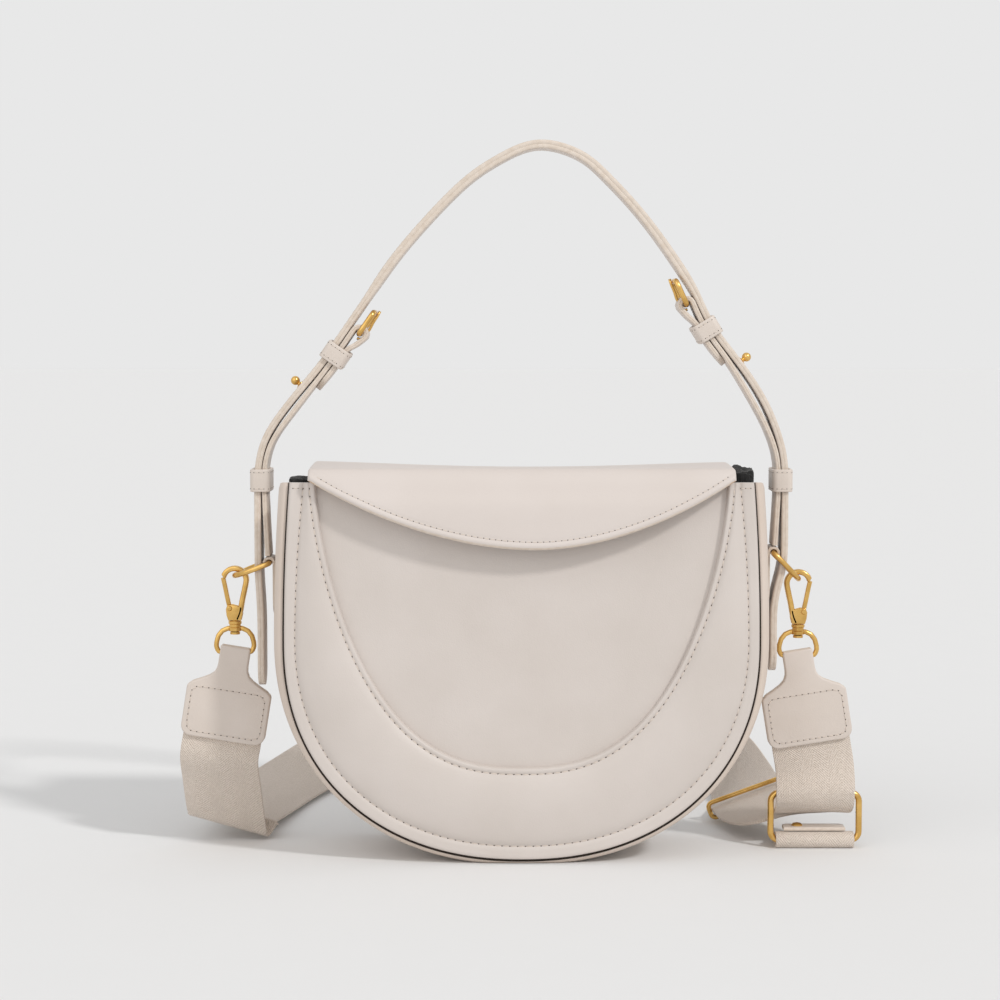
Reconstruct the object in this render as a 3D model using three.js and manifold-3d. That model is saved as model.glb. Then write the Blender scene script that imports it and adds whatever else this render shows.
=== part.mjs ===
// Crescent shoulder bag with a half-moon flap, a buckled top handle and a clip-on webbing strap.
// Millimetres, +Z up. The front faces -Y, the bag stands on its flattened bottom at the origin.
import * as THREE from 'three';
import { mergeVertices } from 'three/addons/utils/BufferGeometryUtils.js';
import Module from 'manifold-3d';

const wasm = await Module();
wasm.setup();

// Driving dimensions
const clearance = 0.3;          // air between neighbouring pieces
const leather = 2;              // one ply of body leather

// Body: a half-moon box
const panelHalfWidth = 111.5;
const panelTop = 180;
const panelBottom = 2.2;
const roundStart = 112;         // height where the straight sides turn into the round bottom
const bodyDepth = 76;           // over the front and back panels
const gussetBulge = 6;          // how far the side band swells past the panels
const outlineSteps = 36;
const mergeDistance = 1e-4;
const bulgeStations = [-1, -0.92, -0.6, -0.2, 0.2, 0.6, 0.92, 1];
const bulgeFullness = 8;        // higher for a band with a flatter middle
const liningWall = 1;
const liningGap = 0.5;
const liningDrop = 15;          // lining's mouth below the panels' top edge

// Padded crescent on the front
const seamHalfWidth = 98;       // half-moon seam at the top edge
const seamBottom = 43.3;
const padEdge = 1.4;            // pad thickness at its sewn outer edge
const padCrown = 5.2;
const padLip = 3.6;             // pad thickness at the half-moon seam
const padStations = 6;

// Flap
const flapHalfWidth = 99.5;
const flapThick = 3;
const flapTip = 149.3;          // height of the lowest point of its lip
const flapCorner = 183;         // height where the lip meets the side edge
const flapCurve = 1.7;          // exponent of the lip's curve
const flapStandOff = 10;        // lip held off the front panel
const flapCrest = 186.5;
const flapRise = 4;             // first turn of the flap above its fold
const flapFoldGap = 0.35;       // air on each side of the fold line
const flapStripDepth = 30;
const magnetRadius = 7;
const magnetThick = 2;
const magnetRise = 10.7;        // magnets' middle above the lip's lowest point

// Zip
const zipHalfLength = 103;
const zipDrop = 7;              // zip plane below the panels' top edge
const zipTape = 1.2;
const zipSlot = 1.6;            // slot between the two rows of teeth
const zipToothWidth = 2.4;
const zipToothHeight = 2.6;
const sliderLength = 12;
const sliderWidth = 9;
const sliderPlate = 1.2;
const sliderRestInset = 11;     // slider's middle from the zip's right end when closed
const sliderOpenInset = 19;     // and from its left end when open
const sliderPlay = 1;           // from a parked slider to the part of the zip that folds down
const pullLength = 16;
const pullWidth = 6;
const pullThick = 1.2;
const pullEye = 1.1;
const zipEndLength = 8;
const zipEndHeight = 5.5;
const zipEndDepth = 22;

// Handle and its side straps
const strapWidth = 18;
const strapThick = 3.2;
const loopThick = 2.4;          // thinner leather of the side straps
const layerGap = 0.4;
// The handle's middle line: a share of the tails' distance from the middle, and a height.
const handleRouteShares = [
  [-1, 184], [-0.987, 193.1], [-0.962, 201.3], [-0.912, 210.7], [-0.849, 220.7], [-0.802, 227.7],
  [-0.7464, 236.4], [-0.6022, 262.5], [-0.4517, 289.2], [-0.2377, 318.3], [-0.0919, 331.6],
  [0.061, 339.4], [0.2203, 334.3], [0.3241, 323.3], [0.4723, 302.8], [0.6371, 273.3],
  [0.6989, 257.4], [0.7425, 248.3], [0.788, 241.1], [0.8376, 233], [0.8756, 226.2],
  [0.9136, 218.4], [0.948, 209.6], [0.977, 199.5], [0.995, 190.5], [1, 184],
];
const tailStandOff = 14.7;      // tails' middle past the edge of the panels
const handleSteps = 64;
const routeStep = 0.25;         // fineness of a search along the handle
const plySteps = 14;
const turnSteps = 8;            // facets of a strap's turn round a bar
const ballSteps = 6;
const handlePivot = 195;        // height of the line that the handle swings about
const tailEnd = { left: 80, right: 87 };
const tailLean = 5;             // how far the tail leans in below the D-ring
const tailLeanDrop = { start: 4, end: 24 };
const keeperHeight = { left: 240.8, right: 252.6 };
const keeperLength = 9;
const keeperWall = 1.4;
const keeperSlack = 0.5;
const lowerKeeperTop = 184.6;
const lowerKeeperLength = 10.8;
const buckleReach = 14.6;       // keeper's middle to the buckle's lower bar
const buckleLength = 12.4;      // between the middles of the buckle's two bars
const buckleWire = 2.6;
const bucklePlay = 0.8;         // air between the strap's edges and the buckle
const prongWidth = 3.2;
const prongThick = 1.4;
const foldTip = 18;             // keeper's middle to the tip of the folded-back ply
const studPlace = 22;           // keeper's middle to the ball stud
const studHead = 2.2;
const studNeck = 1.1;
const studRise = 1.8;

// D-rings on the sides, and the snap hooks of the shoulder strap
const ringWire = 2.6;
const ringBevel = 0.7;
const ringReach = 18.5;           // bar's middle to the round end's middle
const ringShoulder = 5;
const ringHeight = { left: 139.5, right: 144.5 };
const ringDrop = { left: 21, right: 46 };
const eyeWall = 1.4;
const sewnTabLength = 25;
const sewnTabThick = 1.4;
const hookThick = 4.6;
const hookEye = 4.3;            // inner radius of the hook's round top
const hookPlay = 0.8;           // air between the hook's round top and the D-ring
const hookWall = 2.6;
const hookBaseDrop = 19.5;      // top circle's middle to the foot of the base
const hookBaseHalf = 3.4;
const hookEyeFoot = 12.5;       // top circle's middle to the lower end of the eye
const hookEyeFootHalf = 1.4;
const gateTop = 1.5;
const gateFoot = 13.6;          // top circle's middle down to the gate's rivet
const gateOffset = 2.5;         // rivet's distance from the hook's middle line
const gateEnd = 1.6;
const gateThick = 2.2;
const gateWidth = 2.4;
const rivetRadius = 0.7;
const rivetHead = 1.4;
const rivetHeadThick = 0.5;
const shankRadius = 1.7;
const shankHead = 2.5;
const shankHeadThick = 1.2;
const collarRadius = 3.2;
const collarHeight = 4.7;
const swivelWidth = 20.6;
const swivelHeight = 14.4;
const swivelWire = 2.4;
const swivelCorner = 3;

// Leather tabs at the ends of the strap
const tabNeckHalf = 7.2;
const tabHalf = 20.5;
const tabNeckRise = 3;
const tabNeckDrop = 6;
const tabShoulderDrop = 17;
const tabDrop = 43;
const tabThick = 6;
const tabCorner = 5;
const tabShoulderCut = 1;
const tabTilt = 9;

// Webbing and its fittings
const webWidth = 38;
const webThick = 1.6;
const webFall = 12;             // straight run below a tab before the webbing bends
// The webbing's middle line, its X measured from the hook above, and the direction across it where
// it twists from a tab onto its edge.
const webLandingLeft = [
  { at: [-8.8, 7, 28], across: [0.97, -0.05, -0.22] },
  { at: [-6.3, 20, 17], across: [0.9, -0.12, -0.42] },
  { at: [-0.3, 38, 15], across: [0.72, -0.2, -0.66] },
  { at: [6.7, 60, 17.8], across: [0.45, -0.12, -0.88] },
];
const webFloorRun = [[-123, 95], [-116, 140], [-100, 182], [-62, 214], [0, 226], [62, 214], [98, 182]];
const webLeanRight = [
  { at: [-21.8, 140, 17.9], across: [-0.42, 0, -0.91] },
  { at: [-18.3, 100, 13.4], across: [-0.77, 0, -0.64] },
];
const webLandingRight = [
  { at: [-14.8, 46, 11.4], across: [-0.95, 0.05, -0.3] },
  { at: [-5.8, 24, 12.2], across: [-0.97, 0.1, -0.2] },
  { at: [5.2, 11, 15.6], across: [-0.99, 0.05, -0.1] },
  { at: [8.6, 1.2, 19.6], across: [-1, 0, 0] },
  { at: [8.8, -3.2, 27], across: [-1, 0, -0.06] },
];
const webStationSteps = 3;
const slideHalfHeight = 11.6;   // middle of the slide buckle to the middle of its end bars
const slideWire = 2.8;
const slidePlay = 1;            // air between the webbing's edges and the slide buckle
const slideOffset = 8.8;        // slide buckle's middle past the hook above it
const slideHeight = 15.4;
const loopReach = 10;           // how far the loop end runs back from the bottom bar
const endTabHalf = 15;
const endTabThick = 2;
const endRivetRadius = 2.6;
const endRivetThick = 1.4;
const endRivetOffset = -8;
const loopRingPlace = { x: -17.4, y: 66 };   // from the right hook
const loopRingLean = 70;        // the webbing's and ring's top leans away from the bag
const loopRingWire = 2.4;
const loopRingPlay = 2;

// Finishes
const creamLeather = { color: 0xd9cec4, roughness: 0.55, metalness: 0 };
const paleLeather = { color: 0xe2d9d0, roughness: 0.5, metalness: 0 };
const creamWebbing = { color: 0xc6b7a5, roughness: 0.9, metalness: 0 };
const blackCloth = { color: 0x151414, roughness: 0.85, metalness: 0 };
const gold = { color: 0xc9983f, roughness: 0.25, metalness: 1 };
const steel = { color: 0x9a9a98, roughness: 0.4, metalness: 1 };

const bag = new THREE.Group();
const sides = { left: -1, right: 1 };
const halfDepth = bodyDepth / 2;
const roundSegments = 12;
const cornerSegments = 3;

function addPart(name, geometry, finish, parent = bag) {
  const mesh = new THREE.Mesh(geometry, new THREE.MeshStandardMaterial(finish));
  mesh.name = name;
  parent.add(mesh);
}

// A group at a place, turned about the Y axis by an angle in degrees.
function placed(x, y, z, turn = 0) {
  const group = new THREE.Group();
  group.position.set(x, y, z);
  group.rotation.y = THREE.MathUtils.degToRad(turn);
  bag.add(group);
  return group;
}

function toSolid(geometry) {
  const bare = geometry.index ? geometry.toNonIndexed() : geometry.clone();
  bare.deleteAttribute('normal');
  bare.deleteAttribute('uv');
  const merged = mergeVertices(bare, mergeDistance);
  return new wasm.Manifold(new wasm.Mesh({
    numProp: 3,
    vertProperties: new Float32Array(merged.attributes.position.array),
    triVerts: new Uint32Array(merged.index.array),
  }));
}

function toGeometry(solid) {
  const mesh = solid.getMesh();
  const geometry = new THREE.BufferGeometry();
  geometry.setAttribute('position', new THREE.BufferAttribute(new Float32Array(mesh.vertProperties), 3));
  geometry.setIndex(new THREE.BufferAttribute(new Uint32Array(mesh.triVerts), 1));
  return geometry;
}

function joined(first, ...others) {
  return toGeometry(others.reduce((whole, piece) => whole.add(toSolid(piece)), toSolid(first)));
}

function cutBy(whole, ...tools) {
  return toGeometry(tools.reduce((rest, tool) => rest.subtract(toSolid(tool)), toSolid(whole)));
}

function shared(first, second) {
  return toGeometry(toSolid(first).intersect(toSolid(second)));
}

function extruded(shape, depth, bevel = 0, segments = cornerSegments) {
  const geometry = new THREE.ExtrudeGeometry(shape, {
    depth: depth - 2 * bevel,
    bevelEnabled: bevel > 0,
    bevelThickness: bevel,
    bevelSize: bevel,
    bevelOffset: -bevel,
    bevelSegments: 1,
    curveSegments: segments,
  });
  return geometry.translate(0, 0, bevel - depth / 2);
}

// A shape drawn in X and Z, extruded along Y about the given middle.
function acrossY(shape, depth, middle = 0, bevel = 0, segments = cornerSegments) {
  const turn = new THREE.Matrix4().makeBasis(
    new THREE.Vector3(1, 0, 0), new THREE.Vector3(0, 0, 1), new THREE.Vector3(0, -1, 0));
  return extruded(shape, depth, bevel, segments).applyMatrix4(turn).translate(0, middle, 0);
}

// A shape drawn in Y and Z, extruded along X about the given middle.
function acrossX(shape, depth, middle = 0, segments = cornerSegments) {
  const turn = new THREE.Matrix4().makeBasis(
    new THREE.Vector3(0, 1, 0), new THREE.Vector3(0, 0, 1), new THREE.Vector3(1, 0, 0));
  return extruded(shape, depth, 0, segments).applyMatrix4(turn).translate(middle, 0, 0);
}

function box(x0, x1, y0, y1, z0, z1) {
  return new THREE.BoxGeometry(x1 - x0, y1 - y0, z1 - z0)
    .translate((x0 + x1) / 2, (y0 + y1) / 2, (z0 + z1) / 2);
}

function rodAlongY(radius, length, x, z, y = 0) {
  return new THREE.CylinderGeometry(radius, radius, length, roundSegments).translate(x, y, z);
}

function rodAlongZ(radius, z0, z1) {
  return new THREE.CylinderGeometry(radius, radius, z1 - z0, roundSegments)
    .rotateX(Math.PI / 2).translate(0, 0, (z0 + z1) / 2);
}

function polygon(points) {
  return new THREE.Shape(points.map(([x, y]) => new THREE.Vector2(x, y)));
}

function framed(halfWidth, halfHeight, wire, corner) {
  const shape = roundedRectangle(halfWidth, halfHeight, corner);
  shape.holes.push(roundedRectangle(halfWidth - wire, halfHeight - wire, Math.max(corner - wire, wire / 2)));
  return shape;
}

function roundedRectangle(halfWidth, halfHeight, corner) {
  const shape = new THREE.Shape();
  shape.absarc(halfWidth - corner, halfHeight - corner, corner, 0, Math.PI / 2);
  shape.absarc(corner - halfWidth, halfHeight - corner, corner, Math.PI / 2, Math.PI);
  shape.absarc(corner - halfWidth, corner - halfHeight, corner, Math.PI, 1.5 * Math.PI);
  shape.absarc(halfWidth - corner, corner - halfHeight, corner, 1.5 * Math.PI, 2 * Math.PI);
  return shape;
}

// The outline of a band of one thickness that follows a line of points.
function bandShape(points, thick) {
  const sidesOf = points.map((point, i) => {
    const before = points[Math.max(i - 1, 0)];
    const after = points[Math.min(i + 1, points.length - 1)];
    const along = after.clone().sub(before).normalize();
    const offset = new THREE.Vector2(-along.y, along.x).multiplyScalar(thick / 2);
    return [point.clone().add(offset), point.clone().sub(offset)];
  });
  const upper = sidesOf.map(([first]) => first);
  const lower = sidesOf.map(([, second]) => second).reverse();
  return new THREE.Shape(upper.concat(lower));
}

// A closed skin through sections, each made of an outer and an inner row of points.
function stripLoft(sections) {
  const rowLength = sections[0].outer.length;
  const ringLength = 2 * rowLength;
  const positions = [];
  const triangles = [];
  for (const { outer, inner } of sections) {
    for (const point of outer.concat([...inner].reverse())) {
      positions.push(point.x, point.y, point.z);
    }
  }
  const quad = (a, b, c, d) => triangles.push(a, b, c, a, c, d);
  for (let s = 0; s + 1 < sections.length; s += 1) {
    for (let k = 0; k < ringLength; k += 1) {
      const next = (k + 1) % ringLength;
      const low = s * ringLength;
      const high = low + ringLength;
      quad(low + k, low + next, high + next, high + k);
    }
  }
  const last = (sections.length - 1) * ringLength;
  for (let k = 0; k + 1 < rowLength; k += 1) {
    const mirror = ringLength - 1 - k;
    quad(k, mirror, mirror - 1, k + 1);
    quad(last + k, last + k + 1, last + mirror - 1, last + mirror);
  }
  const geometry = new THREE.BufferGeometry();
  geometry.setAttribute('position', new THREE.Float32BufferAttribute(positions, 3));
  geometry.setIndex(facingOut(positions, triangles));
  return geometry;
}

function facingOut(positions, triangles) {
  const corner = (i) => new THREE.Vector3().fromArray(positions, 3 * i);
  let volume = 0;
  for (let i = 0; i < triangles.length; i += 3) {
    const [a, b, c] = [corner(triangles[i]), corner(triangles[i + 1]), corner(triangles[i + 2])];
    volume += a.dot(b.cross(c));
  }
  return volume > 0 ? triangles : triangles.reverse();
}

// Points of the half-moon outline, grown past the panels' edge, from the top left to the top right.
function bodyOutline(grow, top = panelTop, floor = 0) {
  const halfWidth = panelHalfWidth + grow;
  const path = new THREE.Path();
  path.moveTo(-halfWidth, top);
  path.lineTo(-halfWidth, roundStart);
  path.absellipse(0, roundStart, halfWidth, roundStart - panelBottom + grow, Math.PI, 2 * Math.PI, false, 0);
  path.lineTo(halfWidth, top);
  return path.getSpacedPoints(outlineSteps)
    .map((point) => new THREE.Vector2(point.x, Math.max(point.y, floor)));
}

function bodyPanels() {
  const outline = new THREE.Shape(bodyOutline(0));
  addPart('front_panel', acrossY(outline, leather, (leather - bodyDepth) / 2), creamLeather);
  addPart('back_panel', acrossY(outline, leather, (bodyDepth - leather) / 2), creamLeather);

  const gussetHalf = halfDepth - leather - clearance;
  const rows = bulgeStations.map((station) => {
    const grow = gussetBulge * (1 - Math.abs(station) ** bulgeFullness);
    return {
      y: station * gussetHalf,
      outer: bodyOutline(grow),
      inner: bodyOutline(grow - leather, panelTop, leather),
    };
  });
  const sections = bodyOutline(0).map((_, i) => ({
    outer: rows.map(({ y, outer }) => new THREE.Vector3(outer[i].x, y, outer[i].y)),
    inner: rows.map(({ y, inner }) => new THREE.Vector3(inner[i].x, y, inner[i].y)),
  }));
  addPart('gusset', stripLoft(sections), creamLeather);

  const liningGrow = -leather - liningGap;
  const liningHalf = halfDepth - leather - liningGap;
  const liningTop = panelTop - liningDrop;
  const pouch = acrossY(new THREE.Shape(bodyOutline(liningGrow, liningTop)), 2 * liningHalf);
  const hollow = acrossY(
    new THREE.Shape(bodyOutline(liningGrow - liningWall, liningTop + liningWall)),
    2 * (liningHalf - liningWall));
  addPart('lining', cutBy(pouch, hollow), blackCloth);
}

// The puffed U on the front, between the panel's edge and the half-moon seam.
function crescentPad() {
  const seam = new THREE.Path();
  seam.absellipse(0, panelTop, seamHalfWidth, panelTop - seamBottom, Math.PI, 2 * Math.PI, false, 0);
  const seamPoints = seam.getSpacedPoints(outlineSteps);
  const back = -halfDepth - clearance;
  const sections = bodyOutline(-clearance).map((edge, i) => {
    const front = [];
    const rear = [];
    for (let k = 0; k < padStations; k += 1) {
      const share = k / (padStations - 1);
      const point = edge.clone().lerp(seamPoints[i], share);
      const crown = 4 * share * (1 - share) * (padCrown - (padEdge + padLip) / 2);
      const thick = padEdge + (padLip - padEdge) * share + crown;
      front.push(new THREE.Vector3(point.x, back - thick, point.y));
      rear.push(new THREE.Vector3(point.x, back, point.y));
    }
    return { outer: front, inner: rear };
  });
  addPart('front_crescent', stripLoft(sections), creamLeather);
}

const flapFold = { y: halfDepth + clearance + leather / 2, z: panelTop + flapFoldGap };

function flapPieces() {
  const lipY = -halfDepth - flapStandOff;
  const profile = new THREE.SplineCurve([
    [flapFold.y, flapFold.z + flapFoldGap],
    [flapFold.y - leather, flapFold.z + flapRise],
    [halfDepth - flapStandOff, flapCrest - leather],
    [0, flapCrest],
    [flapThick - halfDepth, flapCrest - leather / 2],
    [lipY + flapStandOff / 2, flapCorner + leather / 2],
    [lipY + leather / 2, (flapCorner + flapCrest) / 2 - flapStandOff],
    [lipY - leather / 2, (flapCorner + flapTip) / 2],
    [lipY - leather, flapTip - flapThick],
  ].map(([y, z]) => new THREE.Vector2(y, z)));
  const sheet = acrossX(bandShape(profile.getSpacedPoints(outlineSteps), flapThick), 2 * flapHalfWidth);
  const lip = [];
  for (let i = 0; i <= roundSegments; i += 1) {
    const x = flapHalfWidth * (1 - 2 * i / roundSegments);
    lip.push([x, flapTip + (flapCorner - flapTip) * Math.abs(x / flapHalfWidth) ** flapCurve]);
  }
  const above = flapCrest + flapThick;
  const outline = polygon([[-flapHalfWidth - clearance, flapCorner], [-flapHalfWidth - clearance, above],
    [flapHalfWidth + clearance, above], [flapHalfWidth + clearance, flapCorner], ...lip]);
  const rear = box(-flapHalfWidth - clearance, flapHalfWidth + clearance, 0, bodyDepth, panelTop, above);
  const front = acrossY(outline, bodyDepth, -halfDepth + clearance);
  const whole = shared(sheet, joined(front, rear));
  const hanging = (top) => box(-bodyDepth * 2, bodyDepth * 2, -bodyDepth, 0, 0, top);
  addPart('flap', cutBy(whole, hanging(flapCorner + flapFoldGap)), paleLeather);
  addPart('flap_lip', shared(whole, hanging(flapCorner - flapFoldGap)), paleLeather);

  const stripBack = halfDepth + clearance + leather;
  addPart('flap_back_strip', box(-flapHalfWidth, flapHalfWidth, halfDepth + clearance, stripBack,
    panelTop - flapStripDepth, panelTop), paleLeather);

  const magnetHeight = flapTip + magnetRise;
  const magnetOn = (y) => rodAlongY(magnetRadius, magnetThick, 0, magnetHeight, y);
  addPart('front_magnet', magnetOn(-halfDepth - clearance - magnetThick / 2), steel);
  addPart('flap_magnet', magnetOn(lipY + (flapThick - leather + magnetThick) / 2 + clearance), steel);
}

const zipPlane = panelTop - zipDrop;
const zipSewnEdge = halfDepth - leather - clearance - zipTape / 2;
const sliderRest = zipHalfLength - sliderRestInset;
const sliderOpen = sliderOpenInset - zipHalfLength;
const zipFoldStart = sliderOpen + sliderLength / 2 + sliderPlay;
const zipFoldEnd = sliderRest - sliderLength / 2 - sliderPlay;
const halfTooth = zipToothHeight / 2;

// A length of one half of the zip: tape with a row of teeth along its inner edge.
function zipHalf(sign, from, to) {
  const toothEdge = zipSlot / 2;
  const tapeEdge = toothEdge + zipToothWidth;
  const halfTape = zipTape / 2;
  const section = [
    [zipSewnEdge, -halfTape], [zipSewnEdge, halfTape], [tapeEdge, halfTape], [tapeEdge, halfTooth],
    [toothEdge, halfTooth], [toothEdge, -halfTooth], [tapeEdge, -halfTooth], [tapeEdge, -halfTape],
  ].map(([y, z]) => [sign * y, zipPlane + z]);
  return acrossX(polygon(section), to - from, (from + to) / 2);
}

function zipPieces() {
  addPart('zip_tape_front', zipHalf(-1, zipFoldStart, zipFoldEnd), blackCloth);
  addPart('zip_tape_back', zipHalf(1, zipFoldStart, zipFoldEnd), blackCloth);
  const fixedRun = {
    left: [-zipHalfLength, zipFoldStart - clearance],
    right: [zipFoldEnd + clearance, zipHalfLength],
  };
  for (const [side, sign] of Object.entries(sides)) {
    const edges = [zipHalfLength - zipTape, zipHalfLength + zipEndLength].map((x) => sign * x);
    edges.sort((a, b) => a - b);
    const halfEnd = zipEndDepth / 2;
    const corner = box(...edges, -halfEnd, halfEnd, zipPlane - zipTape, panelTop + zipEndHeight);
    const end = joined(corner, zipHalf(-1, ...fixedRun[side]), zipHalf(1, ...fixedRun[side]));
    addPart(`zip_end_${side}`, end, blackCloth);
  }
  zipSlider();
}

function zipSlider() {
  const slider = placed(sliderRest, 0, zipPlane);
  const neckHalf = zipSlot / 2 - clearance;
  const plateFoot = halfTooth + clearance;
  const plateTop = plateFoot + sliderPlate;
  const lug = plateTop + 2 * pullEye + clearance;
  const halfSlider = sliderLength / 2;
  const halfWidth = sliderWidth / 2;
  const eye = rodAlongY(pullEye, sliderWidth, 0, plateTop + clearance);
  const sliderBody = joined(
    box(-halfSlider, halfSlider, -halfWidth, halfWidth, plateFoot, plateTop),
    box(-halfSlider, halfSlider, -halfWidth, halfWidth, -plateTop, -plateFoot),
    box(-halfSlider, halfSlider, -neckHalf, neckHalf, -plateTop + clearance, plateTop - clearance),
    box(-2 * pullEye, 2 * pullEye, -pullEye, pullEye, plateTop - clearance, lug));
  addPart('zip_slider', cutBy(sliderBody, eye), gold, slider);

  const pinZ = plateTop + clearance;
  const pinRadius = pullEye - clearance;
  const pullFoot = pinZ + clearance;
  const bar = box(-pullLength, pinRadius, -pullWidth / 2, pullWidth / 2, pullFoot, pullFoot + pullThick);
  const slotHalf = pullEye + clearance;
  const slot = box(-2 * pullEye - pullThick, 2 * pullEye, -slotHalf, slotHalf, plateFoot, 2 * lug);
  const pin = rodAlongY(pinRadius, pullWidth, 0, pinZ);
  const lift = (y0, y1) => box(-pinRadius, pinRadius, y0, y1, pinZ, pullFoot + pullThick);
  const pull = joined(cutBy(bar, slot), pin, lift(slotHalf, pullWidth / 2), lift(-pullWidth / 2, -slotHalf));
  addPart('zip_pull', pull, gold, slider);
}

// The handle's middle line, from the left lower keeper over the top to the right one.
const tailX = panelHalfWidth + tailStandOff;
const handleRoute = new THREE.SplineCurve(
  handleRouteShares.map(([share, z]) => new THREE.Vector2(share * tailX, z)));
const handleLength = handleRoute.getLength();

function heightToShare(sign, height) {
  let share = sign < 0 ? 0 : 1;
  const step = -sign * routeStep / handleLength;
  while (handleRoute.getPointAt(share).y < height) {
    share += step;
  }
  return share;
}

const keeperShare = {
  left: heightToShare(sides.left, keeperHeight.left),
  right: heightToShare(sides.right, keeperHeight.right),
};

function shareFromKeeper(side, distance) {
  return THREE.MathUtils.clamp(keeperShare[side] - sides[side] * distance / handleLength, 0, 1);
}

// A point beside the handle: a distance from the keeper towards the top, and a distance inwards.
function besideHandle(side, distance, inward) {
  const share = shareFromKeeper(side, distance);
  const along = handleRoute.getTangentAt(share);
  return handleRoute.getPointAt(share).add(new THREE.Vector2(along.y, -along.x).multiplyScalar(inward));
}

// A group beside the handle whose X axis follows the strap and whose Z axis points outwards.
function besideHandleGroup(side, distance, inward) {
  const point = besideHandle(side, distance, inward);
  const along = handleRoute.getTangentAt(shareFromKeeper(side, distance));
  return placed(point.x, 0, point.y, -THREE.MathUtils.radToDeg(Math.atan2(along.y, along.x)));
}

// Straps that swing end in a half disc about the swing line.
function swingingEnd(strap) {
  const profile = new THREE.Shape();
  const top = 2 * handlePivot;
  profile.moveTo(strapWidth, top);
  profile.lineTo(-strapWidth, top);
  profile.lineTo(-strapWidth / 2, handlePivot + strapWidth / 2);
  profile.absarc(0, handlePivot, strapWidth / 2, Math.PI, 2 * Math.PI);
  profile.lineTo(strapWidth / 2, handlePivot + strapWidth / 2);
  return shared(strap, acrossX(profile, 4 * panelHalfWidth, 0, roundSegments));
}

const sleeveHalf = strapWidth / 2 + keeperSlack + keeperWall;
const innerPly = strapThick / 2 + layerGap + loopThick / 2;
const foldedPly = innerPly + loopThick + layerGap;
const barTurn = buckleWire * Math.SQRT1_2 + clearance + loopThick / 2;
const barInward = innerPly + barTurn;
const prongHole = buckleWire * Math.SQRT1_2 + clearance;
const prongEye = prongHole + prongThick;

function handlePieces() {
  const strap = acrossY(bandShape(handleRoute.getSpacedPoints(handleSteps), strapThick), strapWidth);
  addPart('handle_strap', swingingEnd(strap), creamLeather);
  Object.keys(sides).forEach(handleEnd);
}

function handleEnd(side) {
  const sign = sides[side];
  const down = (handleLength * (sign < 0 ? keeperShare[side] : 1 - keeperShare[side]));
  const line = [];
  for (let i = 0; i <= plySteps; i += 1) {
    line.push(besideHandle(side, -down + (down + buckleReach) * i / plySteps, innerPly));
  }
  for (let i = 1; i < turnSteps; i += 1) {
    const angle = Math.PI * i / turnSteps;
    line.push(besideHandle(side, buckleReach + barTurn * Math.sin(angle),
      barInward - barTurn * Math.cos(angle)));
  }
  line.push(besideHandle(side, buckleReach, barInward + barTurn));
  line.push(besideHandle(side, keeperLength, (barInward + barTurn + foldedPly) / 2));
  line.push(besideHandle(side, keeperLength / 2 + keeperSlack, foldedPly));
  line.push(besideHandle(side, -keeperLength / 2 - keeperSlack, foldedPly));
  line.push(besideHandle(side, -foldTip, foldedPly));
  const strap = swingingEnd(acrossY(bandShape(line, loopThick), strapWidth));
  const bar = besideHandle(side, buckleReach, barInward);
  const slotHalf = prongWidth / 2 + bucklePlay;
  const slot = box(-prongEye - 2 * clearance, 3 * barTurn, -slotHalf, slotHalf, -2 * barTurn, 2 * barTurn);
  const along = handleRoute.getTangentAt(keeperShare[side]);
  slot.rotateY(-Math.atan2(-sign * along.y, -sign * along.x));
  slot.translate(bar.x, 0, bar.y);
  addPart(`side_strap_upper_${side}`, cutBy(strap, slot), creamLeather);

  const hinge = besideHandleGroup(side, buckleReach, barInward);
  const halfWidth = strapWidth / 2 + bucklePlay + buckleWire;
  const frameShape = framed((buckleLength + buckleWire) / 2, halfWidth, buckleWire, buckleWire);
  const frame = extruded(frameShape, buckleWire);
  addPart(`buckle_frame_${side}`, frame.translate(-sign * buckleLength / 2, 0, 0), gold, hinge);

  const reach = -sign * (buckleLength + buckleWire);
  const ends = [0, reach].sort((a, b) => a - b);
  const low = -buckleWire / 2 - clearance;
  const prong = joined(
    rodAlongY(prongEye, prongWidth, 0, 0),
    box(ends[0], ends[1], -prongWidth / 2, prongWidth / 2, low - prongThick, low));
  addPart(`buckle_prong_${side}`, cutBy(prong, rodAlongY(prongHole, 2 * prongWidth, 0, 0)), gold, hinge);

  const keeper = besideHandleGroup(side, 0, (foldedPly + loopThick / 2 - strapThick / 2) / 2);
  const stack = (foldedPly + loopThick / 2 + strapThick / 2) / 2 + keeperSlack;
  const sleeve = framed(sleeveHalf, stack + keeperWall, keeperWall, keeperWall);
  addPart(`upper_keeper_${side}`, acrossX(sleeve, keeperLength), creamLeather, keeper);

  const stud = besideHandleGroup(side, -studPlace, -strapThick / 2 - clearance);
  const neckRise = studRise - Math.sqrt(studHead * studHead - studNeck * studNeck) + studHead;
  const base = studNeck / 2;
  const profile = [[0, 0], [studHead, 0], [studHead, base], [studNeck, base], [studNeck, studRise]];
  const start = Math.asin(studNeck / studHead);
  for (let i = 1; i <= ballSteps; i += 1) {
    const angle = start + (Math.PI - start) * i / ballSteps;
    profile.push([studHead * Math.sin(angle), neckRise - studHead * Math.cos(angle)]);
  }
  profile[profile.length - 1][0] = 0;
  const ball = new THREE.LatheGeometry(profile.map(([r, z]) => new THREE.Vector2(r, z)), roundSegments);
  addPart(`stud_${side}`, ball.rotateX(Math.PI / 2), gold, stud);
}

// Fixed ends of the side straps: a sleeve, the free tail, and the eye that holds the D-ring.
const sideFace = panelHalfWidth + gussetBulge + clearance;
const eyeHole = Math.hypot(ringWire / 2, ringWire / 2 - ringBevel) + clearance;
const eyeX = sideFace + eyeHole + eyeWall;

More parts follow.
